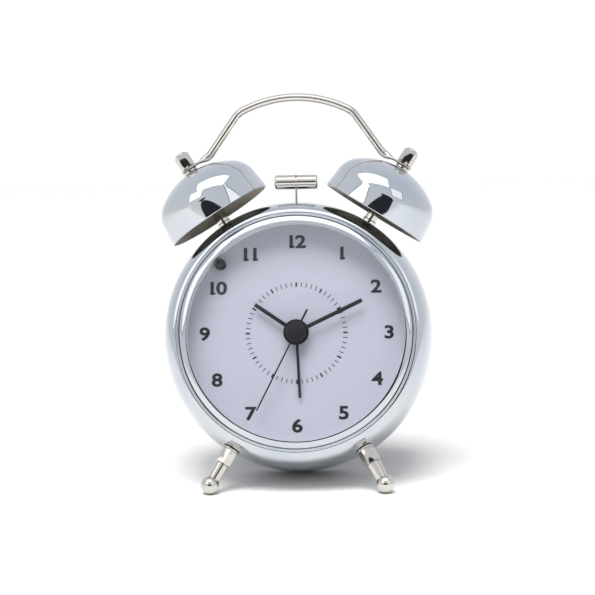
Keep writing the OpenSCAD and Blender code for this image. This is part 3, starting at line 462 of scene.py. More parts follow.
def make_lens():
    m = bpy.data.materials.new("float_glass_pane")
    m.use_nodes = True
    tree = m.node_tree
    tree.nodes.clear()
    through = add_node(tree, "ShaderNodeBsdfTransparent")
    mirror = add_node(tree, "ShaderNodeBsdfGlossy", Roughness=0.02)
    both = add_node(tree, "ShaderNodeMixShader")
    both.inputs[0].default_value = LENS_MIRROR
    tree.links.new(through.outputs[0], both.inputs[1])
    tree.links.new(mirror.outputs[0], both.inputs[2])
    add_node(tree, "ShaderNodeOutputMaterial", links={"Surface": (both, "Shader")})
    return m


def make_epoxy():
    m, tree, shader, place = start_material(
        "clear_lamp_epoxy", "#dfe6cf", 0.0, 0.08, Transmission_Weight=0.6, IOR=1.52
    )
    vary(tree, shader, grain(tree, place, 0.8), "Roughness", 0.05, 0.14)
    return m


def make_sleeve():
    m, tree, shader, place = start_material("printed_cell_sleeve", "#20283a", 0.0, 0.25)
    lowest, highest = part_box("battery")
    along = add_node(tree, "ShaderNodeSeparateXYZ", links={"Vector": (place, "Object")})
    band = add_node(tree, "ShaderNodeMapRange", links={"Value": (along, "Z")})
    band.inputs["From Min"].default_value = lowest.z
    band.inputs["From Max"].default_value = highest.z
    ramp = add_node(tree, "ShaderNodeValToRGB", links={"Fac": (band, "Result")})
    ramp.color_ramp.interpolation = "CONSTANT"
    ramp.color_ramp.elements[0].color = srgb("#1f2637")
    ramp.color_ramp.elements[1].position = 0.74
    ramp.color_ramp.elements[1].color = srgb("#b9863c")
    tree.links.new(ramp.outputs["Color"], shader.inputs["Base Color"])
    vary(tree, shader, grain(tree, place, 2), "Roughness", 0.2, 0.32)
    return m


lens_glass = make_lens()
lamp_epoxy = make_epoxy()
cell_sleeve = make_sleeve()
print("materials", len(bpy.data.materials))

# %% [markdown]
# ### Cards in the tent
# With the card's paint made, the cards can hang: a broad one behind the camera, where a real
# studio is always dark, and one behind each panel, whose edge draws a thin dark frame round it.

# %% Hang the cards
add_card("card_behind_camera", (0.02, -1.2, 0.16), (1.1, 0.62), card_paint, corners=64)
for name, (where, size, _) in PANELS.items():
    behind = Vector(where) * 1.02
    add_card(name.replace("panel", "frame"), behind, [side + 0.05 for side in size], card_paint)

# %% [markdown]
# ## Tools for making pieces
# Almost everything on this clock is turned, spun or pressed, so one tool does most of the work:
# it walks a section point by point, as a lathe hand draws it, and spins it round its axis. Each
# piece is drawn in its own frame in millimetres and put in place at the end, so that its mesh
# holds its place and its object stays at the origin.

# %% Start, finish and place
def begin():
    if bpy.context.mode != "OBJECT":
        bpy.ops.object.mode_set(mode="OBJECT")
    bpy.ops.object.select_all(action="DESELECT")


def only(obj):
    begin()
    obj.select_set(True)
    bpy.context.view_layer.objects.active = obj


def modify(obj, kind, **settings):
    only(obj)
    mod = obj.modifiers.new(kind.lower(), kind)
    for key, value in settings.items():
        setattr(mod, key, value)
    bpy.ops.object.modifier_apply(modifier=mod.name)


def smooth(obj, angle=32):
    only(obj)
    bpy.ops.object.shade_smooth_by_angle(angle=math.radians(angle))


def put(obj, at):
    """Sets a piece that was drawn in a frame into that frame, and applies it to the mesh."""
    only(obj)
    obj.matrix_world = at @ obj.matrix_world
    bpy.ops.object.transform_apply(location=True, rotation=True, scale=True)
    return obj


def join(name, pieces):
    only(pieces[0])
    for p in pieces[1:]:
        p.select_set(True)
    if len(pieces) > 1:
        bpy.ops.object.join()
    pieces[0].name = pieces[0].data.name = name
    return pieces[0]


def dress(obj, name, material, body, slot, *stands_for):
    """Names a piece, gives it its finish and ties it to the engineering model."""
    obj.name = obj.data.name = name
    obj.data.materials.clear()
    obj.data.materials.append(material)
    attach(obj, body)
    if stands_for:
        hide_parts(*stands_for)
    print(f"{name}: {len(obj.data.polygons)} faces on {body}")
    return obj


# %% The lathe
def ellipse(cx, cy, rx, ry, start, end, steps=28):
    """Points of an oval arc in a section, as (radius, height)."""
    turn = [math.radians(start + (end - start) * i / steps) for i in range(steps + 1)]
    return [(cx + rx * math.cos(a), cy + ry * math.sin(a)) for a in turn]


def arc(cx, cy, r, start, end, steps=8):
    return ellipse(cx, cy, r, r, start, end, steps)


def turned(section, closed=False, steps=96):
    """Spins a section given in millimetres round the z axis. closed joins its ends to a ring."""
    begin()
    bpy.ops.mesh.primitive_plane_add(size=MM)
    bpy.ops.object.mode_set(mode="EDIT")
    bpy.ops.mesh.select_all(action="SELECT")
    bpy.ops.mesh.merge(type="CENTER")
    first = section[0]
    bpy.ops.transform.translate(value=(first[0] * MM, 0, first[1] * MM))
    path = section[1:] + ([first] if closed else [])
    for (r0, z0), (r1, z1) in zip([first] + path, path):
        step = ((r1 - r0) * MM, 0, (z1 - z0) * MM)
        bpy.ops.mesh.extrude_vertices_move(TRANSFORM_OT_translate={"value": step})
    bpy.ops.mesh.select_all(action="SELECT")
    bpy.ops.mesh.spin(steps=steps, angle=2 * math.pi, center=(0, 0, 0), axis=(0, 0, 1))
    bpy.ops.mesh.select_all(action="SELECT")
    bpy.ops.mesh.remove_doubles(threshold=0.002 * MM)
    bpy.ops.mesh.normals_make_consistent(inside=False)
    bpy.ops.object.mode_set(mode="OBJECT")
    return bpy.context.object


def block(size, centre, edge=0.0, turn=0.0):
    """A bar with softened edges; size and centre in millimetres, turned about z in degrees."""
    begin()
    bpy.ops.mesh.primitive_cube_add(size=1, location=[c * MM for c in centre])
    bar = bpy.context.object
    bar.scale = [s * MM for s in size]
    bar.rotation_euler.z = math.radians(turn)
    bpy.ops.object.transform_apply(location=True, rotation=True, scale=True)
    if edge:
        modify(bar, "BEVEL", width=edge * MM, segments=2, limit_method="ANGLE")
    return bar


def hexagon(across, low, high, section):
    """A hexagon bar cut back by a turned section, which is how a nut gets its chamfers."""
    begin()
    bpy.ops.mesh.primitive_cylinder_add(
        vertices=6,
        radius=across / 2 / math.cos(math.radians(30)) * MM,
        depth=(high - low) * MM,
        location=(0, 0, (low + high) / 2 * MM),
        rotation=(0, 0, math.radians(30)),
    )
    bar = bpy.context.object
    bpy.ops.object.transform_apply(location=True, rotation=True, scale=True)
    cutter = turned(section)
    modify(bar, "BOOLEAN", operation="INTERSECT", solver="EXACT", object=cutter)
    bpy.data.objects.remove(cutter)
    modify(bar, "BEVEL", width=0.08 * MM, segments=2, limit_method="ANGLE", angle_limit=0.6)
    return bar


# %% [markdown]
# ## The case
# The drum is spun from sheet steel. Its wall leaves the front rim with a full quarter-oval roll,
# runs straight back and turns in over the back cover. The rim is rolled over, and where it meets
# the bezel a fine dark crevice is left. The roof has one slot, for the hammer's arm.

# %% Case shell
CASE_R = 58
RIM_R = 50.2
RIM_Z = 9
SWELL = 22
CASE_BACK = 43
WALL = 0.8
EDGE_R = 3
ROLL = CASE_R - RIM_R


def make_case():
    inner = RIM_R - 0.1
    section = [(inner - 0.8, RIM_Z - 7), (inner - 0.8, RIM_Z - 0.9)]
    section += arc(RIM_R - 0.15, RIM_Z - 0.75, 0.75, 160, 70, 7)
    section += ellipse(RIM_R, -SWELL, ROLL, RIM_Z + SWELL, 84, 0, 44)
    section += arc(CASE_R - EDGE_R, -CASE_BACK + EDGE_R, EDGE_R, 0, -90, 10)
    section += [(53, -CASE_BACK), (53, -CASE_BACK + WALL)]
    section += arc(CASE_R - EDGE_R, -CASE_BACK + EDGE_R, EDGE_R - WALL, -90, 0, 6)
    section += ellipse(RIM_R, -SWELL, ROLL - WALL, RIM_Z + SWELL - 1.6, 0, 80, 24)
    shell = turned(section, closed=True, steps=192)
    slot = put(block((10.6, 12, 5.4), (0, CASE_R, 0), 1.2), PLANE)
    put(shell, DIAL)
    modify(shell, "BOOLEAN", operation="DIFFERENCE", solver="EXACT", object=slot)
    bpy.data.objects.remove(slot)
    smooth(shell, 40)
    return shell


dress(make_case(), "case_drum", chrome, "case", "chromed_steel", "case_shell")

# %% [markdown]
# ## The bezel
# One pressed ring holds the glass. From the glass outwards it has a rounded lip, a broad band that
# catches the light, a sharp groove, and a narrow bead that closes against the case.

# %% Bezel
LIP_R = 45.3
GROOVE_R = 48.5
TUBE_R = 49.25


def make_bezel():
    section = [(LIP_R, RIM_Z), (LIP_R, RIM_Z + 0.25)]
    section += arc(LIP_R + 0.35, RIM_Z + 0.75, 0.35, 180, 82, 7)
    section += arc(LIP_R - 0.5, RIM_Z - 5.9, 7.1, 80, 60, 12)
    section += [(GROOVE_R - 0.3, RIM_Z - 0.6), (GROOVE_R + 0.05, RIM_Z - 0.8)]
    section += [(GROOVE_R + 0.2, RIM_Z - 0.6), (GROOVE_R + 0.3, RIM_Z + 0.1)]
    section += arc(GROOVE_R + 0.85, RIM_Z + 0.05, 0.52, 150, 15, 8)
    section += [(RIM_R - 0.2, RIM_Z - 0.5), (TUBE_R, RIM_Z - 0.5), (TUBE_R, -3.5)]
    section += [(TUBE_R - 2.2, -3.5), (TUBE_R - 2.2, -3), (TUBE_R - 1.4, -3), (TUBE_R - 1.4, RIM_Z)]
    ring = turned(section, closed=True, steps=192)
    smooth(ring, 30)
    return put(ring, DIAL)


dress(make_bezel(), "bezel", chrome, "case", "chromed_steel", "bezel_ring")

# %% [markdown]
# ## The dial's print
# A printed dial is ink a hundredth of a millimetre thick. Each numeral is set upright on a circle.
# The minute track is sixty fine ticks near the middle with a bolder one each five, and twelve thin
# green lines mark the hours near the edge.

# %% Numerals
NUMERAL_R = 38.9
NUMERAL_H = 5.3
ADVANCE = 4.0
STROKE = 0.85
BOLD = 0.24
WIDEN = 1.22
TYPE_SIZE = 1.42
FOOT_W, FOOT_SHIFT = 2.3, 0.25
INK = 0.02


def figure_at(figure, x):
    """One figure of the dial's type, a little widened and emboldened, centred on x."""
    begin()
    bpy.ops.object.text_add()
    letter = bpy.context.object
    letter.data.body = figure
    letter.data.size = NUMERAL_H * TYPE_SIZE * MM
    letter.data.offset = BOLD * MM
    letter.data.extrude = INK / 2 * MM
    letter.data.resolution_u = 8
    bpy.ops.object.convert(target="MESH")
    shape = bpy.context.object
    bpy.ops.object.origin_set(type="ORIGIN_GEOMETRY", center="BOUNDS")
    shape.scale = (WIDEN, 1, 1)
    shape.location = (x * MM, 0, 0)
    bpy.ops.object.transform_apply(location=True, rotation=True, scale=True)
    return shape


def make_numerals():
    figures = []
    for hour in range(1, 13):
        text = str(hour)
        number = []
        for i, figure in enumerate(text):
            x = (i - (len(text) - 1) / 2) * ADVANCE
            number.append(figure_at(figure, x))
            if figure == "1":
                at = (x + FOOT_SHIFT, (STROKE - NUMERAL_H) / 2, 0)
                number.append(block((FOOT_W, STROKE, INK), at))
        number = join("number", number)
        a = math.radians(hour * 30)
        number.location = (NUMERAL_R * math.sin(a) * MM, NUMERAL_R * math.cos(a) * MM, INK * MM)
        bpy.ops.object.transform_apply(location=True, rotation=True, scale=True)
        figures.append(number)
    return put(join("numerals", figures), DIAL)


numerals = make_numerals()
dress(numerals, "dial_numerals", dial_ink, "case", "dial_print")


# %% Ticks and hour lines
def ring_of_marks(count, inner, outer, width, skip=lambda i: False):
    marks = []
    for i in range(count):
        if skip(i):
            continue
        a = 2 * math.pi * i / count
        mid = (inner + outer) / 2
        at = (mid * math.sin(a), mid * math.cos(a), INK * 0.75)
        marks.append(block((width, outer - inner, INK), at, turn=-math.degrees(a)))
    return join("marks", marks)


fine = ring_of_marks(60, 19.6, 21.55, 0.34, skip=lambda i: i % 5 == 0)
bold = ring_of_marks(12, 19.6, 21.55, 0.7)
dress(put(join("track", [fine, bold]), DIAL), "minute_track", dial_ink, "case", "dial_print")
hour_lines = put(ring_of_marks(12, 41.5, 45.3, 0.3), DIAL)
dress(hour_lines, "hour_lines", green_ink, "case", "dial_print")

# %% [markdown]
# ## The hands
# Stamped from thin sheet, so their edges are slightly rounded by the die. The hour and minute
# hands are plain bars, the alarm hand is slimmer, and the second hand is a needle with a broader
# tail. The minute hand spreads into a disc at the middle, under a small cap that rides with the
# seconds. Each is drawn pointing to twelve and turned clockwise to where it stands.

# %% Hands
HAND_T = 0.4
ANGLES = {"hour": 304.5, "minute": 64.6, "second": 207.0, "alarm": 177.3}


def boss(radius, bore, low, high):
    e = 0.1
    section = [(bore, low), (radius, low), (radius, high - e), (radius - e, high), (bore, high)]
    return turned(section, closed=True, steps=64)


def make_hand(which, low, length, width, radius, bore, tall, tail=None):
    parts = [boss(radius, bore, low, low + tall)]
    start = radius * 0.8
    mid_z = low + HAND_T / 2
    parts.append(block((width, length - start, HAND_T), (0, (length + start) / 2, mid_z), 0.08))
    if tail:
        reach, broad = tail
        parts.append(block((broad, reach - start, HAND_T), (0, -(reach + start) / 2, mid_z), 0.08))
    hand = join(which, parts)
    hand.rotation_euler.z = -math.radians(ANGLES[which])
    bpy.ops.object.transform_apply(location=True, rotation=True, scale=True)
    smooth(hand, 30)
    return put(hand, DIAL)


alarm = make_hand("alarm", 1.8, 27.4, 1.15, 3.4, 2.5, HAND_T)
dress(alarm, "alarm_pointer", hand_paint, "alarm_hand_body", "hand_paint", "alarm_hand")
hour = make_hand("hour", 3.0, 21, 1.65, 2.8, 1.8, 0.8)
dress(hour, "hour_bar", hand_paint, "hour_hand_body", "hand_paint", "hour_hand")
minute = make_hand("minute", 4.2, 30.6, 1.7, 5.4, 1.17, 0.8)
dress(minute, "minute_bar", hand_paint, "minute_hand_body", "hand_paint", "minute_hand")
second = make_hand("second", 5.6, 36.7, 0.62, 1.6, 0.55, HAND_T, tail=(10.6, 0.85))
dress(second, "second_needle", hand_paint, "second_hand_body", "hand_paint", "second_hand")

# %% Hub cap
cap_edge = arc(3.75, 6.55, 0.45, 0, 80, 6)
cap = turned([(0, 6), (4.2, 6), (4.2, 6.55)] + cap_edge + [(2.4, 7.06), (0, 7.1)])
smooth(cap)
put(cap, DIAL)
dress(cap, "hub_button", hand_paint, "second_hand_body", "hand_paint", "hub_cap")

# %% [markdown]
# ## The bells
# A bell is spun from thin steel over a former: a flat crown, a round shoulder and a skirt that is
# almost straight. Its mouth is turned and slightly thickened. Only the crown is clamped, on a post
# that stands on the case, so that the rest rings.

# %% Bells
BELL_R = 23.9
BELL_H = 22.6
SHOULDER = 11.5
CROWN = 31
BELL_WALL = 0.8
SEAT, MOUTH, CROWN_AT, STRAP = 57.655, 61.855, 84.455, 85.455


def bell_skin(inset):
    s, c = SHOULDER - inset, CROWN - inset
    cx = BELL_R - BELL_WALL - SHOULDER
    bend = math.degrees(math.asin(cx / (CROWN - SHOULDER)))
    cy = BELL_H - CROWN + (CROWN - SHOULDER) * math.cos(math.radians(bend))
    return arc(cx, cy, s, 0, 90 - bend, 18) + arc(0, BELL_H - CROWN, c, 90 - bend, 87.0, 12)[1:]


def make_bell(side):
    lip = arc(BELL_R - 0.4, 0.4, 0.42, 200, 360, 8)
    outside = [(r, z + MOUTH) for r, z in lip + bell_skin(0)]
    inside = [(r, z + MOUTH) for r, z in bell_skin(BELL_WALL)]
    shell = turned(outside + inside[::-1], closed=True, steps=160)
    smooth(shell, 40)
    return put(shell, bell_frame(side))


def line_inside(obj, core, material):
    """Gives the faces that look inwards, towards a point, a second material; on the bells this is
    the painted shade and reflection of their insides.
    """
    obj.data.materials.append(material)
    for face in obj.data.polygons:
        if face.normal.dot(face.center - core) < 0:
            face.material_index = 1


for side, word in ((-1, "left"), (1, "right")):
    shell = make_bell(side)
    dress(shell, f"bell_shell_{word}", chrome, "case", "chromed_steel", f"bell_{word}")
    # The inward faces get the painted shade and reflection of the bell's inside.
    line_inside(shell, bell_frame(side) @ Vector((0, 0, (MOUTH + 3) * MM)), bell_inside_painted_shade)

# %% [markdown]
# Each post is a turned pillar with a small foot, and its stud runs up through the crown, the
# spacer, the handle's flattened end and a tall domed nut.

# %% Posts, spacers and domed nuts
POST_R = 2.75
STUD_R = 1.5
STUD_IN = 4.5
TAB_T = 1.3
NUT_TOP = STRAP + TAB_T


def make_post(side):
    top = CROWN_AT - 0.86
    section = [(0, SEAT - STUD_IN), (STUD_R, SEAT - STUD_IN), (STUD_R, SEAT)]
    section += [(POST_R + 0.35, SEAT)]
    section += [(POST_R + 0.35, SEAT + 0.8), (POST_R, SEAT + 1.2), (POST_R, top - 0.4)]
    section += [(POST_R - 0.3, top), (STUD_R, top)]
    section += [(STUD_R, NUT_TOP + STUD_IN), (0, NUT_TOP + STUD_IN)]
    post = turned(section, steps=64)
    smooth(post)
    return put(post, bell_frame(side))


def make_spacers():
    rings = []
    for side in (-1, 1):
        e = 0.15
        section = [(STUD_R, CROWN_AT), (3 - e, CROWN_AT), (3, CROWN_AT + e), (3, STRAP - e)]
        section += [(3 - e, STRAP), (STUD_R, STRAP)]
        rings.append(put(turned(section, closed=True, steps=64), bell_frame(side)))
    ring = join("spacers", rings)
    smooth(ring)
    return ring


def make_domed_nuts():
    nuts = []
    across, tall = 5.8, 7.4
    corner = across / 2 / math.cos(math.radians(30))
    for side in (-1, 1):
        low, high = NUT_TOP, NUT_TOP + tall
        section = [(0, low), (corner - 0.35, low), (corner + 0.02, low + 0.3)]
        section += [(corner + 0.02, high - 1.5), (corner - 0.5, high - 1.0)]
        section += ellipse(0, high - 1.0, corner - 0.75, 1.0, 0, 90, 10)
        nut = hexagon(across, low, high, section)
        smooth(nut, 28)
        nuts.append(put(nut, bell_frame(side)))
    return join("nuts", nuts)


for side, word in ((-1, "left"), (1, "right")):
    dress(make_post(side), f"post_{word}", nickel, "case", "nickel", f"bell_post_{word}")
dress(make_spacers(), "handle_spacers", nickel, "case", "nickel", "bell_washers")
dress(make_domed_nuts(), "domed_nuts", nickel, "case", "nickel", "bell_nuts")

# %% [markdown]
# ## The handle
# One length of round wire, bent to an arch with softer shoulders, then straight legs that turn
# outwards at the heel, where the ends are pressed flat and rounded off. It is made as a wire is
# bent: a round disc is pushed on from station to station and turned to follow the bend.

# %% Handle
WIRE_R = 1.75
ARCH_R, ARCH_END = 50, 27
SHOULDER_R, LEG_ANGLE = 9, 55
HEEL_R, TAB_LEN, TAB_W = 5, 9.5, 7.4
ARCH_Y, LEG_LEN = 52.753, 18.679


def bend_points(centre, radius, start, end, steps, inward=False):
    """Stations round a bend, after its first: x, y, and the normal's angle."""
    out = []
    reach = -radius if inward else radius
    for i in range(1, steps + 1):
        a = start + (end - start) * i / steps
        r = math.radians(a)
        out.append((centre[0] + reach * math.sin(r), centre[1] + reach * math.cos(r), a))
    return out


def handle_half():
    """Stations from the top of the arch to the tab's end: x, y, and the normal's angle."""
    s = lambda a: math.sin(math.radians(a))
    c = lambda a: math.cos(math.radians(a))
    path = [(0, ARCH_Y + ARCH_R, 0)] + bend_points((0, ARCH_Y), ARCH_R, 0, ARCH_END, 16)
    hub = ((ARCH_R - SHOULDER_R) * s(ARCH_END), ARCH_Y + (ARCH_R - SHOULDER_R) * c(ARCH_END))
    path += bend_points(hub, SHOULDER_R, ARCH_END, LEG_ANGLE, 8)
    x, y, a = path[-1]
    x, y = x + LEG_LEN * c(a), y - LEG_LEN * s(a)
    path.append((x, y, a))
    heel = (x + HEEL_R * s(a), y + HEEL_R * c(a))
    path += bend_points(heel, HEEL_R, LEG_ANGLE, BELL_ANGLE, 7, inward=True)
    x, y, a = path[-1]
    return path, [(x + d * c(a), y - d * s(a), a) for d in (1.2, 2.4, 3.6, 4.8, TAB_LEN)]


def sweep_wire():
    begin()
    bpy.ops.mesh.primitive_circle_add(vertices=24, radius=WIRE_R * MM, rotation=(0, math.pi / 2, 0))
    wire = bpy.context.object
    bpy.ops.object.transform_apply(location=True, rotation=True, scale=True)
    path, tab = handle_half()
    bpy.ops.object.mode_set(mode="EDIT")
    bpy.ops.mesh.select_all(action="SELECT")
    bpy.ops.transform.translate(value=(0, path[0][1] * MM, 0))
    for (x0, y0, a0), (x1, y1, a1) in zip(path, path[1:]):
        step = ((x1 - x0) * MM, (y1 - y0) * MM, 0)
        bpy.ops.mesh.extrude_region_move(TRANSFORM_OT_translate={"value": step})
        bpy.ops.transform.rotate(
            value=math.radians(a1 - a0), orient_axis="Z", center_override=(x1 * MM, y1 * MM, 0)
        )
    return wire, path[-1], tab


# %% Pressed ends and the other half
def press_ends(wire, last, tab):
    flat = math.radians(BELL_ANGLE)
    space = Matrix.Rotation(-flat, 3, "Z")
    shares = [0.08, 0.4, 0.78, 1.0, 1.0]
    x0, y0, _ = last
    thin = wide = 1.0
    for (x, y, _), share in zip(tab, shares):
        step = ((x - x0) * MM, (y - y0) * MM, 0)
        bpy.ops.mesh.extrude_region_move(TRANSFORM_OT_translate={"value": step})
        new_thin = 1 - share * (1 - TAB_T / 2 / WIRE_R)
        new_wide = 1 + share * (TAB_W / 2 / WIRE_R - 1)
        bpy.ops.transform.resize(
            value=(1, new_thin / thin, new_wide / wide),
            orient_type="GLOBAL",
            orient_matrix=space,
            orient_matrix_type="GLOBAL",
            center_override=(x * MM, y * MM, 0),
        )
        x0, y0, thin, wide = x, y, new_thin, new_wide
    for i in range(1, 7):
        a, b = math.radians(84 * (i - 1) / 6), math.radians(84 * i / 6)
        reach = TAB_W / 2 * (math.sin(b) - math.sin(a))
        step = (reach * math.cos(flat) * MM, -reach * math.sin(flat) * MM, 0)
        bpy.ops.mesh.extrude_region_move(TRANSFORM_OT_translate={"value": step})
        x0, y0 = x0 + step[0] / MM, y0 + step[1] / MM
        narrow = math.cos(b) / math.cos(a)
        bpy.ops.transform.resize(value=(1, 1, narrow), center_override=(x0 * MM, y0 * MM, 0))
    bpy.ops.mesh.edge_face_add()
    bpy.ops.mesh.select_all(action="SELECT")
    bpy.ops.mesh.normals_make_consistent(inside=False)
    bpy.ops.object.mode_set(mode="OBJECT")
    modify(wire, "MIRROR", use_axis=(True, False, False), use_clip=True, merge_threshold=0.01 * MM)
    smooth(wire, 50)
    return put(wire, PLANE)


dress(press_ends(*sweep_wire()), "handle_wire", nickel, "case", "nickel", "handle")

# %% [markdown]
# ## The feet
# A foot is turned from hexagon bar: a collar that a spanner can hold, a tight neck line, a slender
# taper and a polished ball. A thin washer spreads its load on the case. The left collar shows an
# edge to the front and the right one a flat, as chance left them when they were screwed in.

# %% Feet
COLLAR_0, COLLAR_H = 0.72, 6.9
TAPER_0 = COLLAR_0 + COLLAR_H
TAPER_H = 7
HEX_W = 6.3
NECK_R = 2.55
BALL_R = 3.85
BALL_C = 17.504


def make_foot(side):
    corner = HEX_W / 2 / math.cos(math.radians(30))
    low, high = COLLAR_0, TAPER_0 - 0.35
    section = [(0, low), (corner - 0.3, low), (corner + 0.02, low + 0.25)]
    section += [(corner + 0.02, high - 0.25), (corner - 0.3, high), (0, high)]
    collar = hexagon(HEX_W, low, high, section)
    if side < 0:
        collar.rotation_euler.z = math.radians(24)
        bpy.ops.object.transform_apply(location=True, rotation=True, scale=True)
    meet = math.degrees(math.asin(NECK_R / BALL_R))
    root = COLLAR_0 - STUD_IN
    body = [(0, root), (STUD_R, root), (STUD_R, low + 0.5), (2.7, low + 0.5)]
    body += [(2.7, TAPER_0 - 0.2), (HEX_W / 2 - 0.12, TAPER_0), (HEX_W / 2, TAPER_0 + 0.12)]
    body += [(NECK_R, TAPER_0 + TAPER_H)]
    body += arc(0, BALL_C, BALL_R, meet - 90, 90, 26)[1:-1] + [(0, BALL_C + BALL_R)]
    stem = turned(body, steps=80)
    foot = join("foot", [stem, collar])
    smooth(foot, 28)
    return put(foot, foot_frame(side))


def make_foot_washers():
    rings = []
    for side in (-1, 1):
        e, low, high, r = 0.12, 0.12, 0.72, 3.8
        section = [(STUD_R, low), (r - e, low), (r, low + e), (r, high - e), (r - e, high)]
        section.append((STUD_R, high))
        rings.append(put(turned(section, closed=True, steps=80), foot_frame(side)))
    ring = join("washers", rings)
    smooth(ring)
    return ring


for side, word in ((-1, "left"), (1, "right")):
    dress(make_foot(side), f"turned_foot_{word}", nickel, "case", "nickel", f"foot_{word}")
dress(make_foot_washers(), "washers_under_feet", nickel, "case", "nickel", "foot_washers")

# %% [markdown]
# ## The hammer
# The head is a short bar of polished steel with rounded ends, slit to take the thin spring-steel
# arm, and the slit shows as a fine line round its middle. Both swing between the bells.

# %% Hammer head and arm
HEAD_Y = 66.3
HEAD_R = 3.1
HEAD_HALF = 9.2


def make_hammer_head():
    half = [(0.2, HEAD_R - 0.35), (0.32, HEAD_R)]
    half += [(x, y) for y, x in arc(HEAD_R - 0.9, HEAD_HALF - 0.9, 0.9, 0, 80, 8)]
    end = [(HEAD_HALF, HEAD_R - 1.3), (HEAD_HALF, 0)]
    right = half + end
    left = [(-x, y) for x, y in right[::-1]]
    head = turned([(r, x) for x, r in left + right], steps=96)
    smooth(head, 35)
    lie = Matrix.Translation((0, HEAD_Y * MM, 0)) @ Matrix.Rotation(math.radians(90), 4, "Y")
    return put(head, PLANE @ lie)


def make_hammer_arm():
    top = HEAD_Y + HEAD_R - 0.1
    tail = PIVOT_Y - 11
    blade = block((0.7, top - tail, 4), (0, (top + tail) / 2, 0), 0.12)
    plate = block((1.5, 8, 5), (1.1, tail + 4, 0), 0.2)
    eye = turned([(1.05, -3), (1.7, -3), (1.8, -2.9), (1.8, 2.9), (1.7, 3), (1.05, 3)], True, 48)
    put(eye, Matrix.Translation((0, PIVOT_Y * MM, 0)))
    arm = join("arm", [blade, plate, eye])
    smooth(arm, 30)
    return put(arm, PLANE)


dress(make_hammer_head(), "hammer_bar", nickel, "hammer", "nickel", "hammer_head")
dress(make_hammer_arm(), "hammer_blade", spring_steel, "hammer", "steel", "hammer_arm")

# %% [markdown]
# ## The back
# From behind the clock is all moulded ABS: a cover with a raised rim and a patch of raised sound
# bars, two fluted setting knobs inside raised rings, a battery door with grip ribs, the alarm's
# slide switch and the light's round button. The cover itself comes from the engineering model;
# what a mould adds to it is modelled here and stands on it.

# %% Relief on the cover
REAR = -44.2
TIME_Y, ALARM_Y = -19.6, 12.6
SWITCH_AT = (22, 16)
BUTTON_AT = (22, -14)
CELL_X = -24


def raised_ring(radius, width, height, at=(0, 0)):
    e = min(width, height) * 0.4
    a, b = radius - width / 2, radius + width / 2
    section = [(a, REAR + 0.05), (b, REAR + 0.05), (b, REAR - height + e)]
    section += [(b - e, REAR - height), (a + e, REAR - height), (a, REAR - height + e)]
    ring = turned(section, closed=True, steps=96)
    return put(ring, Matrix.Translation((at[0] * MM, at[1] * MM, 0)))


def cover_relief():
    parts = [raised_ring(52.2, 1.6, 0.7)]
    parts.append(raised_ring(9.6, 1.0, 0.5, (0, TIME_Y)))
    parts.append(raised_ring(9.6, 1.0, 0.5, (0, ALARM_Y)))
    parts.append(raised_ring(5.2, 0.8, 0.5, BUTTON_AT))
    for x in (SWITCH_AT[0] - 4, SWITCH_AT[0] + 4):
        parts.append(block((0.8, 12, 0.6), (x, SWITCH_AT[1], REAR - 0.25), 0.2))
    for a in (30, 150, 270):
        place = (43 * math.cos(math.radians(a)), 43 * math.sin(math.radians(a)))
        parts.append(raised_ring(4.0, 1.0, 0.6, place))
    for x in (CELL_X - 8.6, CELL_X + 8.6):
        parts.append(block((0.8, 56.5, 0.6), (x, 0, REAR - 0.25), 0.2))
    for y in (-28.2, 28.2):
        parts.append(block((17.9, 0.8, 0.6), (CELL_X, y, REAR - 0.25), 0.2))
    relief = join("relief", parts)
    smooth(relief)
    return put(relief, DIAL)


dress(cover_relief(), "cover_relief", pebble_abs, "case", "black_plastic")


# %% Sound bars
def sound_bars():
    bars = []
    for i in range(7):
        y = 26 + i * 2.6
        wide = 20 - abs(i - 3) * 2.2
        bars.append(block((wide, 1.0, 0.3), (4, y, REAR - 0.12), 0.1))
    patch = join("bars", bars)
    smooth(patch)
    return put(patch, DIAL)


dress(sound_bars(), "cover_sound_bars", smooth_abs, "case", "black_plastic")


# %% Knobs
KNOB_FRONT, KNOB_H, KNOB_R = -45.2, 8, 7.5


def make_knob(y):
    low, high = KNOB_FRONT - KNOB_H, KNOB_FRONT
    r = KNOB_R - 0.45
    section = [(0, low + 0.7), (r - 1.6, low + 0.7), (r - 1.1, low + 0.1), (r - 0.3, low)]
    section += [(r, low + 0.35), (r, high - 0.4), (r - 0.4, high)]
    section += [(1.25, high), (1.25, low + 2), (0, low + 2)]
    core = turned(section, steps=96)
    ribs = []
    for i in range(24):
        a = math.radians(i * 15)
        at = (r * math.cos(a), r * math.sin(a), (low + high) / 2 + 0.15)
        ribs.append(block((0.9, 0.8, KNOB_H - 1.1), at, 0.25, turn=i * 15))
    mark = block((0.8, 3.2, 0.5), (0, 3.4, low + 0.55), 0.15)
    knob = join("knob", [core, mark] + ribs)
    smooth(knob)
    put(knob, Matrix.Translation((0, y * MM, 0)))
    return put(knob, DIAL)


for job, y in (("time", TIME_Y), ("alarm", ALARM_Y)):
    knob, body = f"{job}_knob", f"{job}_setting"
    dress(make_knob(y), f"{knob}_fluted", smooth_abs, body, "black_plastic", knob)


# %% Battery door, switch and button
def door_ribs():
    ribs = [block((9, 0.8, 0.5), (CELL_X, 14 + i * 1.8, REAR - 0.2), 0.2) for i in range(6)]
    ribs.append(block((12, 1.2, 0.7), (CELL_X, 25.6, REAR - 0.3), 0.25))
    part = join("ribs", ribs)
    smooth(part)
    return put(part, DIAL)


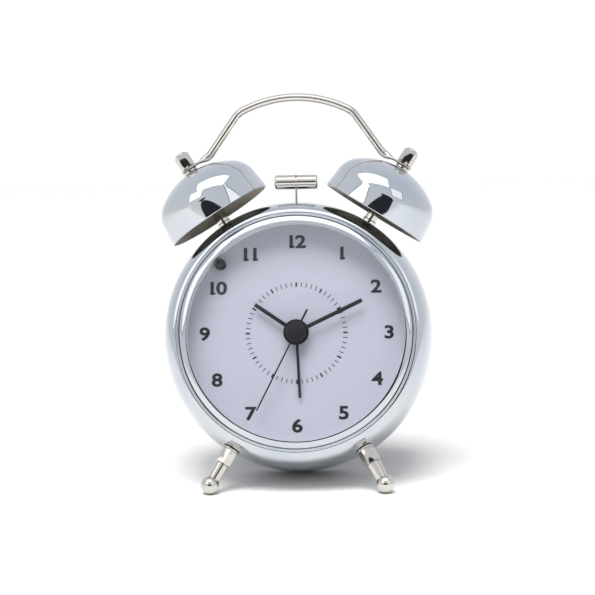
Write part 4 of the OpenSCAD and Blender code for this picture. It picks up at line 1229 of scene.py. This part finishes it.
def switch_grip():
    x, y = SWITCH_AT
    steps = (-1.2, -0.4, 0.4, 1.2)
    ribs = [block((4.4, 0.5, 0.5), (x, y - 2 + d, REAR - 2.45), 0.15) for d in steps]
    part = join("grip", ribs)
    smooth(part)
    return put(part, DIAL)


def button_cap():
    low, r = REAR - 2, 3.6
    section = [(0, low - 0.05), (1.8, low - 0.2), (r - 0.5, low - 0.2)]
    section += [(r, low + 0.3), (r, low + 1.4), (0, low + 1.4)]
    part = turned(section, steps=64)
    smooth(part)
    put(part, Matrix.Translation((BUTTON_AT[0] * MM, BUTTON_AT[1] * MM, 0)))
    return put(part, DIAL)


dress(door_ribs(), "door_grip_ribs", pebble_abs, "door", "black_plastic")
dress(switch_grip(), "switch_grip_ribs", grey_abs, "switch", "grey_plastic")
dress(button_cap(), "button_cap_dished", grey_abs, "button", "grey_plastic")

# %% [markdown]
# ## Finishes on the engineering nodes
# What is already the right shape keeps its mesh and only gets its finish: the glass, the dial
# plate, the movement and its wheels, the cover, the door, the cell and the screws.

# %% Finish the carried-over nodes
FINISHES = {
    lens_glass: ["lens"],
    dial_lacquer: ["dial"],
    white_abs: [
        "reflector_ring", "third_wheel", "rotor_idler", "second_wheel", "motion_wheel",
        "hour_wheel", "alarm_wheel", "alarm_stem", "time_stem",
    ],
    grey_abs: ["movement_case", "movement_back", "alarm_switch", "light_button"],
    pebble_abs: ["back_cover", "battery_door", "dial_carrier"],
    smooth_abs: ["lamp_hood"],
    lamp_epoxy: ["dial_lamp"],
    brass: ["dial_nut", "centre_wheel", "cannon_pinion"],
    zinc_steel: [
        "frame_pillars", "carrier_screws", "cover_screws", "stud_nuts", "battery_plates",
        "battery_spring", "stator", "striker_frame", "hammer_pivot",
    ],
    copper: ["coil_winding", "striker_coil"],
    red_abs: ["coil_bobbin", "internal_leads"],
    solder_mask: ["circuit_board"],
    magnet: ["rotor"],
    cell_sleeve: ["battery"],
}
for finish, names in FINISHES.items():
    for name in names:
        nodes[name].data.materials.clear()
        nodes[name].data.materials.append(finish)
finished = sum(len(names) for names in FINISHES.values())
print("nodes finished", finished, "of", len(nodes))
